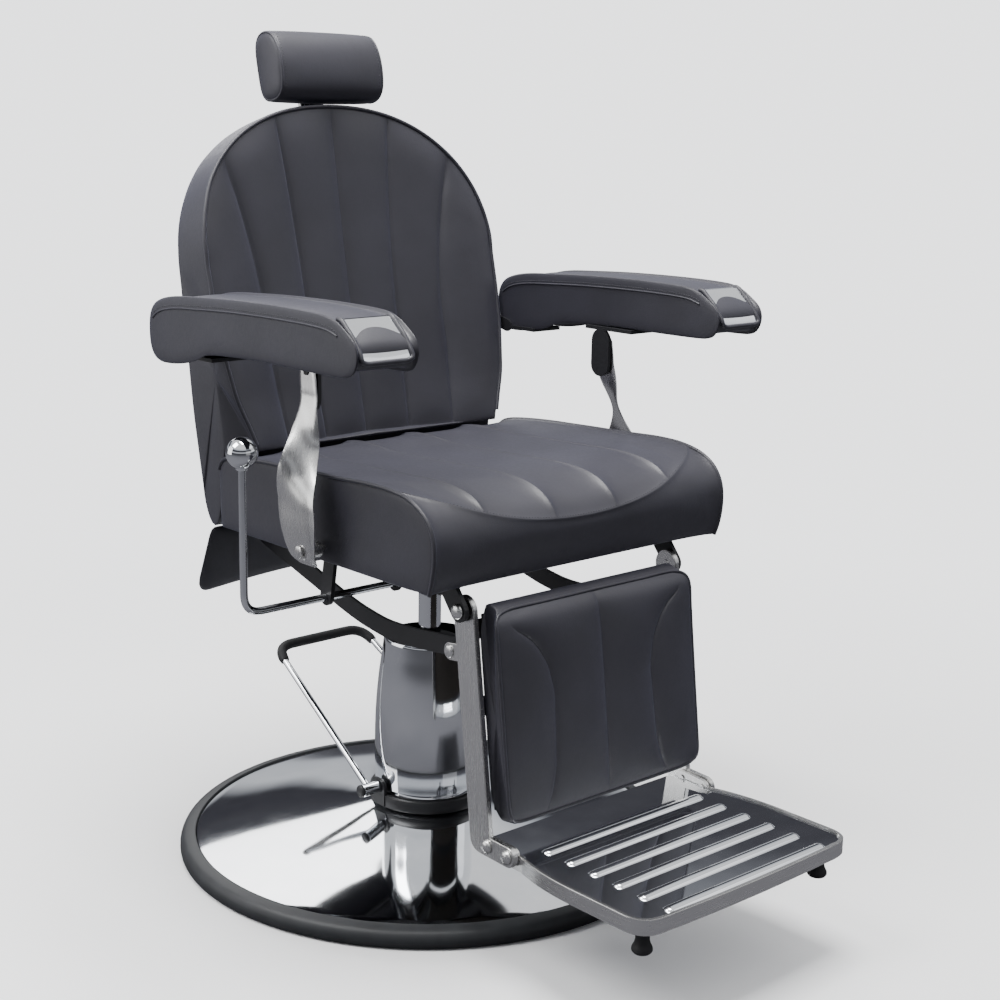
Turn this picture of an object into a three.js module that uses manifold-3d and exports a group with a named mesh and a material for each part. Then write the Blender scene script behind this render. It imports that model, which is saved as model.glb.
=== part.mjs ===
// Hydraulic barber chair: round base with a foot pump, reclining back, linked leg rest and arm rests.
// Millimetres, +Z up. The origin is on the floor under the column's axis. The chair faces -Y,
// so the chair's own right side, with the recline lever, is on -X.
import * as THREE from "three";
import { mergeVertices } from "three/addons/utils/BufferGeometryUtils.js";
import Module from "manifold-3d";

const gap = 0.3; // between pieces that touch
const baseSegments = 44; // facets of the largest rings
const fit = 0.4; // radial clearance of a pivot

// Base and pump
const base = { radius: 352, rimHeight: 27, rimWidth: 22, domeTop: 66, sheet: 2.5, plateTop: 6 };
const column = { topRadius: 63.5, bellyRadius: 76.5, footRadius: 75, height: 306, foot: 92, wall: 2.5 };
const collar = { radius: 70, wall: 4 };
const pump = { radius: 46, boss: 62, glandHeight: 9 };
const piston = { radius: 16, bottom: 96, lift: 150 };
const pedal = { pivotY: 10, pivotZ: 96, pivotX: 98, reach: 252, rise: 142, halfWidth: 80, rod: 4.6, sleeve: 7.4 };

// Seat
const seat = { halfWidth: 254, front: -306, rear: 144, bottom: 470, top: 577, crown: 588, skirt: 28 };
const frame = { bottom: 468, height: 31, railX: seat.halfWidth - 49, railWidth: 25, front: -262, rear: 106 };
const hub = { radius: 32, length: 42, plateHalf: 82, plate: 8 };
const board = { thickness: 12, inset: 3 };

// Linkage, as points in the Y-Z plane
const backPivot = { y: 143, z: 499 };
const legPivot = { y: -282, z: 440 };
const crank = { y: 25, z: -58 };
const strapPivot = { y: -92, z: 490 };
const armPivot = { y: 164, z: 720 };
const boltRadius = 6;
const linkX = seat.halfWidth - 93.5; // middle of the link bars
const crankX = linkX - 7.5; // middle of the back's crank plates
const plateThickness = 6;
const link = { halfHeight: 13, thickness: 5, dip: 22 };

// Back rest, measured along and across its own tilted plane
const back = {
  tilt: THREE.MathUtils.degToRad(13.8),
  footY: 103,
  footZ: 575,
  halfWidth: seat.halfWidth - 4,
  lowHalfWidth: seat.halfWidth - 10,
  height: 470,
  archHeight: 209,
  depth: 70,
  lowDepth: 97,
  panel: 8,
};
const tail = {
  topHalf: back.halfWidth - 16,
  bottomHalf: back.halfWidth - 9,
  length: 110,
  lean: THREE.MathUtils.degToRad(18),
  thickness: 10,
  arch: 18,
};
const head = {
  halfWidth: 88,
  bottom: back.height + 7,
  height: 98,
  depth: 53,
  board: 7.5,
  postHalf: 20,
  post: 8,
  postLength: 200,
};

// Arm rests and their straps
const arm = {
  inner: seat.halfWidth + 2,
  outer: seat.halfWidth + 92,
  front: -280,
  rear: 150,
  bottom: 738,
  top: 792,
};
const strap = { thickness: 3.5, topX: seat.halfWidth + 3, bulgeX: seat.halfWidth + 32, foot: 16 };

// Recline lever and lock
const lock = { x: 33 - crankX, frontY: -175, length: 215, radius: 13, rod: 6, z: 438.5, eyePlay: 2.8 };
const lever = { y: -50, z: 410, x: -seat.halfWidth - 88, rod: 5, knobRadius: 20, knobZ: 614, innerX: lock.x + 26 };

// Leg rest and foot rest
const rail = { outer: linkX + 22, thickness: 8, width: 37, lean: THREE.MathUtils.degToRad(7.4), length: 292 };
const pad = { front: -52, back: -13, bottom: 24 - rail.length, top: 6, board: 7.5 }; // from the leg pivot, along the rails
const foot = {
  front: -608,
  halfWidth: rail.outer + 6.5,
  height: 20,
  thickness: 5,
  drop: 13.4,
  ribs: 6,
  ribStep: 40,
  corner: 36,
};

const wasm = await Module();
wasm.setup();

function material(color, roughness, metalness) {
  return new THREE.MeshStandardMaterial({ color, roughness, metalness });
}

const leather = material(0x2b2a30, 0.55, 0);
const chrome = material(0xd9dbde, 0.08, 1);
const stainless = material(0xb9b8b6, 0.3, 1);
const blackSteel = material(0x38373b, 0.5, 0.4);
const castIron = material(0x44454a, 0.7, 0.6);
const blackRubber = material(0x1c1c1e, 0.8, 0);
const rimRubber = material(0x45474a, 0.7, 0);
const plywood = material(0x6d5238, 0.8, 0);

// Boolean work on closed geometries
function toSolid(geometry) {
  const bare = geometry.index ? geometry.toNonIndexed() : geometry.clone();
  bare.deleteAttribute("normal");
  bare.deleteAttribute("uv");
  const merged = mergeVertices(bare, 1e-4);
  const vertProperties = merged.attributes.position.array;
  const triVerts = new Uint32Array(merged.index.array);
  return new wasm.Manifold(new wasm.Mesh({ numProp: 3, vertProperties, triVerts }));
}

function toGeometry(solid) {
  const mesh = solid.getMesh();
  const geometry = new THREE.BufferGeometry();
  geometry.setAttribute("position", new THREE.BufferAttribute(mesh.vertProperties, 3));
  geometry.setIndex(new THREE.BufferAttribute(mesh.triVerts, 1));
  const faceted = geometry.toNonIndexed();
  faceted.computeVertexNormals();
  return faceted;
}

function join(first, ...others) {
  return toGeometry(others.reduce((sum, other) => sum.add(toSolid(other)), toSolid(first)));
}

function cut(first, ...others) {
  return toGeometry(others.reduce((rest, other) => rest.subtract(toSolid(other)), toSolid(first)));
}

function common(first, second) {
  return toGeometry(toSolid(first).intersect(toSolid(second)));
}

// Shapes and the solids made from them
function point(y, z) {
  return new THREE.Vector2(y, z);
}

function polygon(points) {
  return new THREE.Shape(points.map(([a, b]) => point(a, b)));
}

function disc(y, z, radius) {
  return new THREE.Shape().absarc(y, z, radius, 0, Math.PI * 2);
}

// A bar with round ends between two points.
function stadium(from, to, radius) {
  const angle = Math.atan2(to.z - from.z, to.y - from.y);
  const shape = new THREE.Shape();
  shape.absarc(to.y, to.z, radius, angle - Math.PI / 2, angle + Math.PI / 2);
  shape.absarc(from.y, from.z, radius, angle + Math.PI / 2, angle + Math.PI * 1.5);
  return shape;
}

const alongX = new THREE.Matrix4().makeBasis(
  new THREE.Vector3(0, 1, 0),
  new THREE.Vector3(0, 0, 1),
  new THREE.Vector3(1, 0, 0),
);
const alongY = new THREE.Matrix4().makeBasis(
  new THREE.Vector3(1, 0, 0),
  new THREE.Vector3(0, 0, 1),
  new THREE.Vector3(0, -1, 0),
);

function extrude(shape, depth, curveSegments) {
  return new THREE.ExtrudeGeometry(shape, { depth, bevelEnabled: false, curveSegments });
}

// A Y-Z outline made solid from one X to another.
function slabX(shape, x0, x1, curveSegments = 5) {
  const low = Math.min(x0, x1);
  return extrude(shape, Math.abs(x1 - x0), curveSegments).applyMatrix4(alongX).translate(low, 0, 0);
}

// An X-Z outline made solid from one Y to another.
function slabY(shape, y0, y1, curveSegments = 12) {
  const high = Math.max(y0, y1);
  return extrude(shape, Math.abs(y1 - y0), curveSegments).applyMatrix4(alongY).translate(0, high, 0);
}

// An X-Y outline made solid from one Z to another.
function slabZ(shape, z0, z1, curveSegments = 8) {
  return extrude(shape, z1 - z0, curveSegments).translate(0, 0, z0);
}

function box(x0, x1, y0, y1, z0, z1) {
  const size = [Math.abs(x1 - x0), Math.abs(y1 - y0), Math.abs(z1 - z0)];
  return new THREE.BoxGeometry(...size).translate((x0 + x1) / 2, (y0 + y1) / 2, (z0 + z1) / 2);
}

function pinX(at, radius, x0, x1) {
  return slabX(disc(at.y, at.z, radius), x0, x1, 6);
}

// A profile of [radius, z] turned about Z. It starts and ends on the axis, or is closed on itself.
function turned(profile, segments = 26) {
  const closed = profile[0][0] > 0 ? [...profile, profile[0]] : profile;
  const points = closed.map(([r, z]) => point(r, z));
  return new THREE.LatheGeometry(points, segments).rotateX(Math.PI / 2);
}

function rounded(x0, x1, y0, y1, radius) {
  const shape = new THREE.Shape();
  shape.absarc(x1 - radius, y1 - radius, radius, 0, Math.PI / 2);
  shape.absarc(x0 + radius, y1 - radius, radius, Math.PI / 2, Math.PI);
  shape.absarc(x0 + radius, y0 + radius, radius, Math.PI, Math.PI * 1.5);
  shape.absarc(x1 - radius, y0 + radius, radius, Math.PI * 1.5, Math.PI * 2);
  return shape;
}

// A path of straight runs with a bend at each inner point.
function bentPath(points, bend) {
  const corners = points.map((p) => new THREE.Vector3(...p));
  const path = new THREE.CurvePath();
  let start = corners[0];
  for (let i = 1; i < corners.length - 1; i += 1) {
    const before = start.clone().sub(corners[i]).setLength(bend).add(corners[i]);
    const after = corners[i + 1].clone().sub(corners[i]).setLength(bend).add(corners[i]);
    path.add(new THREE.LineCurve3(start, before));
    path.add(new THREE.QuadraticBezierCurve3(before, corners[i], after));
    start = after;
  }
  path.add(new THREE.LineCurve3(start, corners[corners.length - 1]));
  return path;
}

function rod(path, radius, steps) {
  const shape = new THREE.Shape().absarc(0, 0, radius, 0, Math.PI * 2);
  return new THREE.ExtrudeGeometry(shape, { steps, curveSegments: 4, extrudePath: path });
}

// A strip of one thickness along a chain of [u, v] points, on the left of their direction.
function ribbon(points, thickness) {
  const offset = points.map(([u, v], i) => {
    const [a, b] = [points[Math.max(i - 1, 0)], points[Math.min(i + 1, points.length - 1)]];
    const length = Math.hypot(b[0] - a[0], b[1] - a[1]);
    return [u - ((b[1] - a[1]) / length) * thickness, v + ((b[0] - a[0]) / length) * thickness];
  });
  return polygon([...points, ...offset.reverse()]);
}

// A bar of one width with round ends, along a chain of [y, z] points.
function barOutline(line, radius) {
  const heading = (from, to) => Math.atan2(to[1] - from[1], to[0] - from[0]);
  const last = line.length - 1;
  const end = (centre, from, to) => [...Array(9).keys()].map((i) => {
    const angle = from + ((to - from) * i) / 8;
    return [centre[0] + radius * Math.cos(angle), centre[1] + radius * Math.sin(angle)];
  });
  const side = (sign) => line.slice(1, last).map(([u, v], i) => {
    const angle = heading(line[i], line[i + 2]) + (sign * Math.PI) / 2;
    return [u + radius * Math.cos(angle), v + radius * Math.sin(angle)];
  });
  const start = heading(line[0], line[1]);
  const finish = heading(line[last - 1], line[last]);
  return polygon([
    ...end(line[0], start + Math.PI / 2, start + Math.PI * 1.5),
    ...side(-1),
    ...end(line[last], finish - Math.PI / 2, finish + Math.PI / 2),
    ...side(1).reverse(),
  ]);
}

const chair = new THREE.Group();

function add(name, geometry, finish, group = chair) {
  const mesh = new THREE.Mesh(geometry, finish);
  mesh.name = name;
  group.add(mesh);
  return mesh;
}

function plus(a, b) {
  return { y: a.y + b.y, z: a.z + b.z };
}

const sides = [
  { name: "right", s: -1 },
  { name: "left", s: 1 },
];

// Places that follow from the sizes above
const rearPin = plus(backPivot, crank);
const frontPin = plus(legPivot, crank);
const armRise = { y: armPivot.y - backPivot.y, z: armPivot.z - backPivot.z };
const strapTop = plus(strapPivot, armRise);
const frameTop = frame.bottom + frame.height;
const seatInside = seat.halfWidth - seat.skirt;
const hubBottom = frame.bottom - gap - hub.plate - hub.length;

// Base: a rubber-edged spun dome over a cast plate that carries the pump
function makeBase() {
  const inner = base.radius - base.rimWidth;
  add("base_ring", turned([
    [inner - 8, 0],
    [base.radius - 7, 0],
    [base.radius, 7],
    [base.radius - 1, 17],
    [base.radius - 9, 24],
    [inner, base.rimHeight],
    [inner, base.plateTop + 2],
    [inner - 8, base.plateTop + 2],
  ], baseSegments), rimRubber);
  const edge = inner - gap;
  const outline = [
    [edge, base.rimHeight - 5],
    [edge - 6, base.rimHeight - 1],
    [250, base.rimHeight + 11],
    [150, base.rimHeight + 25],
    [96, base.rimHeight + 35],
    [collar.radius + 5, base.domeTop],
  ];
  const under = outline.map(([r, z]) => [r - 0.5, z - base.sheet]).reverse();
  add("base_dome", turned([...outline, ...under], baseSegments), chrome);
  add("base_plate", turned([
    [0, 0],
    [inner - 8 - gap, 0],
    [inner - 8 - gap, base.plateTop],
    [pump.radius + 30, base.plateTop + 8],
    [pump.radius + 8, pump.boss],
    [0, pump.boss],
  ], baseSegments), castIron);
}

function makePump() {
  const glandBottom = column.height - 4 - pump.glandHeight;
  add("pump_cylinder", turned([
    [0, pump.boss + gap],
    [pump.radius, pump.boss + gap],
    [pump.radius, glandBottom - gap],
    [piston.radius + 4, glandBottom - gap],
    [piston.radius + 4, piston.bottom - 16],
    [0, piston.bottom - 16],
  ]), castIron);
  add("pump_gland", turned([
    [piston.radius + fit, glandBottom],
    [pump.radius - 3, glandBottom],
    [pump.radius - 3, glandBottom + pump.glandHeight - 3],
    [pump.radius - 6, glandBottom + pump.glandHeight],
    [piston.radius + fit, glandBottom + pump.glandHeight],
  ]), blackSteel);
  const span = column.height - column.foot;
  const outside = [
    [column.footRadius, column.foot],
    [column.bellyRadius, column.foot + span * 0.2],
    [column.bellyRadius - 1.5, column.foot + span * 0.5],
    [column.bellyRadius - 5, column.foot + span * 0.72],
    [column.topRadius + 3, column.foot + span * 0.9],
    [column.topRadius, column.height],
  ];
  const inside = outside.map(([r, z]) => [r - column.wall, z]).reverse();
  add("column_cover", turned([...outside, ...inside]), chrome);
  const collarBottom = base.domeTop + gap;
  add("column_collar", turned([
    [collar.radius - collar.wall, collarBottom],
    [collar.radius, collarBottom],
    [collar.radius, column.foot - gap],
    [collar.radius - collar.wall, column.foot - gap],
  ]), chrome);
  add("piston_rod", turned([
    [0, piston.bottom],
    [piston.radius, piston.bottom],
    [piston.radius, frame.bottom - hub.plate - 5],
    [0, frame.bottom - hub.plate - 5],
  ]), chrome);
}

function makePedal() {
  const pivot = { y: pedal.pivotY, z: pedal.pivotZ };
  const cheek = column.bellyRadius + 2.5;
  const cheekOuter = cheek + 4.5;
  const low = base.domeTop + 3;
  let bracket = turned([
    [collar.radius + gap, low],
    [cheekOuter - 1, low],
    [cheekOuter - 1, column.foot - 6],
    [collar.radius + gap, column.foot - 6],
  ]);
  for (const { s } of sides) {
    const face = rounded(pivot.y - 15, pivot.y + 15, low, pivot.z + 12, 7);
    bracket = join(bracket, slabX(face, s * cheek, s * cheekOuter, 5));
    bracket = join(bracket, pinX(pivot, 5, s * (cheekOuter - 1), s * (pedal.pivotX + 14)));
    bracket = join(bracket, pinX(pivot, 9, s * (pedal.pivotX + 14), s * (pedal.pivotX + 19)));
  }
  add("pedal_bracket", bracket, blackSteel);
  const top = { y: pivot.y + pedal.reach, z: pivot.z + pedal.rise };
  const path = bentPath([
    [-pedal.pivotX, pivot.y + 6, pivot.z + 3],
    [-pedal.halfWidth, top.y, top.z],
    [pedal.halfWidth, top.y, top.z],
    [pedal.pivotX, pivot.y + 6, pivot.z + 3],
  ], 30);
  const steps = 30;
  let yoke = rod(path, pedal.rod, steps);
  for (const { s } of sides) {
    yoke = join(yoke, pinX(pivot, 9, s * (cheekOuter + 1), s * (pedal.pivotX + 13)));
    yoke = cut(yoke, pinX(pivot, 5 + fit, s * (cheekOuter - 2), s * (pedal.pivotX + 15)));
  }
  add("pedal_lever", yoke, chrome);
  const sleevePath = path.curves.slice(1, 4).reduce((sum, curve) => {
    sum.add(curve);
    return sum;
  }, new THREE.CurvePath());
  const bore = rod(path, pedal.rod + gap, steps);
  add("pedal_grip", cut(rod(sleevePath, pedal.sleeve, 16), bore), blackRubber);
}

// Seat: an upholstered box over a welded frame, turning on the piston
function makeSeat() {
  const side = polygon([
    [seat.rear, seat.bottom + 8],
    [seat.rear, seat.top - 12],
    [seat.rear - 12, seat.top],
    [-40, seat.top + 6],
    [-180, seat.crown],
    [-245, seat.crown - 3],
    [seat.front + 22, seat.crown - 16],
    [seat.front + 5, seat.crown - 38],
    [seat.front, seat.crown - 62],
    [seat.front + 4, seat.bottom + 10],
    [seat.front + 14, seat.bottom],
    [seat.rear - 8, seat.bottom],
  ]);
  const plan = rounded(-seat.halfWidth, seat.halfWidth, seat.front, seat.rear, 26);
  const block = common(
    slabX(side, -seat.halfWidth, seat.halfWidth),
    slabZ(plan, seat.bottom, seat.crown, 5),
  );
  const under = frameTop + gap;
  const hollow = box(-seatInside, seatInside, seat.front + 24, seat.rear - 20, 0, under + board.thickness + gap);
  const rearGap = box(-frame.railX, frame.railX, 0, seat.rear + 9, 0, under);
  let cushion = cut(block, hollow, rearGap);
  for (const { s } of sides) {
    const hinge = box(s * (crankX - 10), s * (linkX + 8), backPivot.y - 22, seat.rear + 9, 400, backPivot.z + 38);
    const hole = pinX(strapPivot, boltRadius + 1, s * (seatInside - 9), s * (seat.halfWidth + 9));
    cushion = cut(cushion, hinge, hole);
  }
  add("seat_cushion", cushion, leather);
  const edge = seatInside - board.inset;
  add("seat_board", box(-edge, edge, seat.front + 27, frame.rear - 16, under, under + board.thickness), plywood);
}

function frameTube(x0, x1, y0, y1) {
  return box(x0, x1, y0, y1, frame.bottom, frameTop);
}

function makeSeatFrame() {
  const outer = frame.railX + frame.railWidth / 2;
  const tube = frame.railWidth;
  let weld = frameTube(-outer, outer, frame.front, frame.front + tube);
  for (const y of [-75, 50, frame.rear - 20]) weld = join(weld, frameTube(-outer, outer, y, y + 20));
  for (const { s } of sides) {
    weld = join(weld, frameTube(s * (outer - tube), s * outer, frame.front, frame.rear));
    const frontEar = stadium({ y: frame.front + 14, z: frame.bottom + 14 }, legPivot, 14);
    const earX = rail.outer + 2.5;
    weld = join(weld, slabX(frontEar, s * earX, s * (earX + plateThickness), 4));
    weld = join(weld, box(s * earX, s * (outer - 3), frame.front, frame.front + tube, frame.bottom, frameTop));
    const rearEar = stadium({ y: frame.rear - 14, z: frame.bottom + 16 }, backPivot, 13);
    const rearX = linkX - plateThickness / 2;
    weld = join(weld, slabX(rearEar, s * rearX, s * (rearX + plateThickness), 4));
    const legHole = pinX(legPivot, boltRadius + gap, s * (earX - 1), s * (earX + plateThickness + 1));
    const backHole = pinX(backPivot, boltRadius + gap, s * (rearX - 1), s * (rearX + plateThickness + 1));
    const strapHole = pinX(strapPivot, boltRadius + gap, s * (outer - 6), s * (outer + 1));
    weld = cut(weld, legHole, backHole, strapHole);
  }
  const leverAt = { y: lever.y, z: lever.z };
  const cheek = lock.x + lock.radius + 2;
  for (const x of [-outer, cheek]) {
    const hanger = stadium({ y: lever.y - 10, z: frame.bottom + 6 }, leverAt, 11);
    weld = join(weld, slabX(hanger, x, x + plateThickness, 4));
    weld = cut(weld, pinX(leverAt, lever.rod + fit, x - 1, x + plateThickness + 1));
  }
  const lockEye = { y: lock.frontY, z: lock.z };
  const lockArm = stadium({ y: -65, z: frame.bottom + 10 }, lockEye, 9);
  weld = join(weld, slabX(lockArm, cheek, cheek + plateThickness, 4));
  weld = join(weld, pinX(lockEye, boltRadius, cheek + 1, lock.x - lock.radius - 2));
  add("seat_frame", weld, blackSteel);
}

function makeSwivel() {
  const plateTop = frame.bottom - gap;
  const flangeHalf = -lock.x - 38;
  const flange = slabZ(rounded(-flangeHalf, flangeHalf, -hub.plateHalf, hub.plateHalf, 14),
    plateTop - hub.plate, plateTop, 4);
  const boss = turned([
    [piston.radius + gap, hubBottom],
    [hub.radius, hubBottom],
    [hub.radius + 6, plateTop - hub.plate + 1],
    [piston.radius + gap, plateTop - hub.plate + 1],
  ]);
  add("swivel_plate", join(flange, boss), blackSteel);
}

// Pivot bolts that join the moving plates to the seat frame
function makeSeatBolts({ name, s }) {
  const earOut = rail.outer + 2.5 + plateThickness;
  const legBolt = join(
    pinX(legPivot, boltRadius, s * (rail.outer - rail.thickness - 1), s * (earOut + 1)),
    pinX(legPivot, boltRadius + 4, s * (earOut + 0.5), s * (earOut + 6)),
  );
  add("legrest_bolt_" + name, legBolt, stainless);
  const plateIn = crankX - plateThickness / 2;
  const backBolt = join(
    pinX(backPivot, boltRadius, s * (plateIn - 1), s * (linkX + plateThickness / 2 + 1)),
    pinX(backPivot, boltRadius + 4, s * (plateIn - 5), s * (plateIn - 0.6)),
  );
  add("back_bolt_" + name, backBolt, stainless);
  const outer = frame.railX + frame.railWidth / 2;
  add("strap_pin_" + name, pinX(strapPivot, boltRadius, s * (outer - 5), s * (strap.bulgeX - 1)), stainless);
}

// Back rest
const backGroup = new THREE.Group();
backGroup.position.set(0, back.footY, back.footZ);
backGroup.rotation.x = -back.tilt;
chair.add(backGroup);

// A world point of the Y-Z plane in the back's own tilted axes, and the other way.
function toBack({ y, z }) {
  const [dy, dz] = [y - back.footY, z - back.footZ];
  const [c, s] = [Math.cos(back.tilt), Math.sin(back.tilt)];
  return { y: dy * c - dz * s, z: dy * s + dz * c };
}

function backOutline(inset) {
  const width = back.halfWidth - inset;
  const shoulder = back.height - back.archHeight;
  const arch = [];
  for (let i = 0; i <= 18; i += 1) {
    const t = (Math.PI * i) / 18;
    const [c, s] = [Math.cos(t), Math.sin(t)];
    const across = Math.sign(c) * Math.abs(c) ** (2 / 2.2) * width;
    arch.push([across, shoulder + s ** (2 / 2.2) * (back.archHeight - inset)]);
  }
  const low = back.lowHalfWidth - inset;
  return polygon([[low, -170], [low, -20], ...arch, [-low, -20], [-low, -170]]);
}

function makeBack() {
  const low = (y, z) => {
    const p = toBack({ y, z });
    return [p.y, p.z];
  };
  const seatRear = seat.rear + 6;
  const [cushionTop, cushionFoot] = [back.height + 1, seat.top + 6];
  const rearLine = [
    [back.depth, cushionTop],
    [back.depth, 250],
    [back.lowDepth, 60],
    low(backPivot.y + 62, backPivot.z + 4),
  ];
  const profile = polygon([
    low(back.footY + 2, cushionFoot),
    [0, cushionTop],
    ...rearLine,
    low(backPivot.y + 56, backPivot.z - 19),
    low(backPivot.y + 42, backPivot.z - 38),
    low(backPivot.y + 24, backPivot.z - 38),
    low(backPivot.y + 21, backPivot.z - 19),
    low(seatRear + 4, backPivot.z + 6),
    low(seatRear, backPivot.z + 30),
    low(seatRear, cushionFoot),
  ]);
  const depth = back.lowDepth + 60;
  let cushion = common(
    slabX(profile, -back.halfWidth, back.halfWidth),
    slabY(backOutline(0), -5, depth),
  );
  const pivot = toBack(backPivot);
  const plateEnd = toBack({ y: backPivot.y + 43, z: backPivot.z + 101 });
  for (const { s } of sides) {
    const [x0, x1] = [crankX - plateThickness / 2 - gap, crankX + plateThickness / 2 + gap];
    const slot = slabX(stadium(pivot, plateEnd, 12 + gap), s * x0, s * x1, 4);
    const lowSlot = slabX(stadium(pivot, toBack(rearPin), 11 + gap), s * x0, s * x1, 4);
    const eye = pinX(pivot, 16, s * (x0 - 5), s * (linkX + 5));
    cushion = cut(cushion, slot, lowSlot, eye);
  }
  const socket = headSocket();
  cushion = cut(cushion, box(-socket.x - gap, socket.x + gap, socket.front - gap, back.depth + 5, socket.bottom - gap, 600));
  add("back_cushion", cushion, leather, backGroup);
  const behind = rearLine.map(([v, s]) => [v + gap, s]);
  const panel = common(
    slabX(ribbon(behind, back.panel), -back.halfWidth, back.halfWidth),
    slabY(backOutline(14), -5, depth),
  );
  add("back_panel", panel, leather, backGroup);
}

function makeCranks() {
  const plateEnd = { y: backPivot.y + 43, z: backPivot.z + 101 };
  let cranks = pinX(rearPin, boltRadius, -linkX - 4, linkX + 4);
  for (const { s } of sides) {
    const [x0, x1] = [s * (crankX - plateThickness / 2), s * (crankX + plateThickness / 2)];
    cranks = join(cranks, slabX(stadium(backPivot, plateEnd, 12), x0, x1, 4));
    cranks = join(cranks, slabX(stadium(backPivot, rearPin, 11), x0, x1, 4));
    cranks = cut(cranks, pinX(backPivot, boltRadius + fit, x0 - s, x1 + s));
  }
  add("back_crank", cranks, blackSteel);
}

function makeTail() {
  const shape = new THREE.Shape();
  const round = 16;
  shape.moveTo(-tail.topHalf, 0);
  shape.lineTo(-tail.bottomHalf + 1, -tail.length + round);
  shape.quadraticCurveTo(-tail.bottomHalf, -tail.length, -tail.bottomHalf + round, -tail.length);
  shape.quadraticCurveTo(0, -tail.length + tail.arch * 2, tail.bottomHalf - round, -tail.length);
  shape.quadraticCurveTo(tail.bottomHalf, -tail.length, tail.bottomHalf - 1, -tail.length + round);
  shape.lineTo(tail.topHalf, 0);
  const panel = add("tail_panel", slabY(shape, 0, tail.thickness, 10), leather);
  panel.position.set(0, backPivot.y + 43, backPivot.z - 41);
  panel.rotation.x = tail.lean;
}

function headSocket() {
  const front = head.depth - 1;
  return { front, x: head.postHalf + 6, bottom: back.height - 130, top: back.height - 6 };
}

function makeHeadrest() {
  const socket = headSocket();
  const postFront = head.depth + head.board - 3;
  const rear = postFront + head.post + 3;
  const sleeve = box(-socket.x, socket.x, postFront - 3, rear, socket.bottom, socket.top);
  const bore = box(-head.postHalf - fit, head.postHalf + fit, postFront - fit, postFront + head.post + fit, 0, 600);
  add("headrest_socket", cut(sleeve, bore), blackSteel, backGroup);
  const side = polygon([
    [2, head.bottom + 8],
    [-3, head.bottom + head.height * 0.5],
    [4, head.bottom + head.height - 12],
    [18, head.bottom + head.height],
    [head.depth, head.bottom + head.height - 4],
    [head.depth, head.bottom + 4],
    [14, head.bottom],
  ]);
  add("headrest_pad", slabX(side, -head.halfWidth, head.halfWidth), leather, backGroup);
  const boardBack = head.depth + gap + 5;
  const plate = box(-62, 62, head.depth + gap, boardBack, head.bottom + 16, head.bottom + head.height - 18);
  const postTop = head.bottom + head.height - 24;
  const bar = box(-head.postHalf, head.postHalf, postFront, postFront + head.post, postTop - head.postLength, postTop);
  add("headrest_post", join(plate, bar), stainless, backGroup);
}

// Arm rests: padded arms kept level by straps that stay parallel to the back
function makeArm({ name, s }) {
  const profile = [
    [arm.front + 4, arm.bottom + 3],
    [-100, arm.bottom],
    [20, arm.bottom - 6],
    [60, arm.bottom - 20],
    [100, arm.bottom - 25],
    [arm.rear - 12, arm.bottom - 24],
    [arm.rear, arm.bottom - 6],
    [arm.rear - 2, arm.bottom + 24],
    [arm.rear - 16, arm.bottom + 40],
    [96, arm.top - 6],
    [0, arm.top],
    [-150, arm.top + 3],
  ];
  const tip = [
    [-238, arm.top],
    [-262, arm.top - 6],
    [arm.front + 3, arm.top - 22],
    [arm.front, arm.bottom + 16],
  ];
  add("arm_pad_" + name, slabX(polygon([...profile, ...tip]), s * arm.inner, s * arm.outer), leather);
  const skin = tip.map(([y, z]) => [y - gap, z + gap]).reverse();
  const cap = slabX(ribbon(skin, 3), s * (arm.inner + 10), s * (arm.outer - 8));
  add("arm_cap_" + name, cap, chrome);
  const under = arm.bottom - 7;
  const tabIn = strap.topX - 2 - 5;
  let tab = box(s * tabIn, s * (arm.inner + 60), strapTop.y - 60, strapTop.y + 30, under - 5, under);
  tab = join(tab, slabX(stadium(strapTop, { y: strapTop.y, z: strapTop.z - 34 }, 17), s * tabIn, s * (tabIn + 5), 5));
  tab = join(tab, pinX(strapTop, 5, s * (tabIn + 1), s * (strap.topX + strap.thickness + 1.5)));
  add("arm_tab_" + name, tab, blackSteel);
  const rearUnder = arm.bottom - 25 - gap;
  const earIn = back.halfWidth + 2.6;
  let hinge = box(s * earIn, s * (arm.inner + 50), 70, arm.rear - 6, rearUnder - 5, rearUnder);
  hinge = join(hinge, slabX(stadium({ y: arm.rear - 20, z: rearUnder - 1 }, armPivot, 9), s * earIn, s * (earIn + 3), 5));
  hinge = cut(hinge, pinX(armPivot, 5 + fit, s * (earIn - 1), s * (earIn + 4)));
  add("arm_hinge_" + name, hinge, blackSteel);
  const stud = join(
    pinX(armPivot, 15, s * (back.halfWidth + gap), s * (back.halfWidth + 2)),
    pinX(armPivot, 5, s * (back.halfWidth + 1), s * (earIn + 4)),
    pinX(armPivot, 7, s * (earIn + 3.4), s * (earIn + 7)),
  );
  add("arm_stud_" + name, stud, stainless);
}

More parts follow.
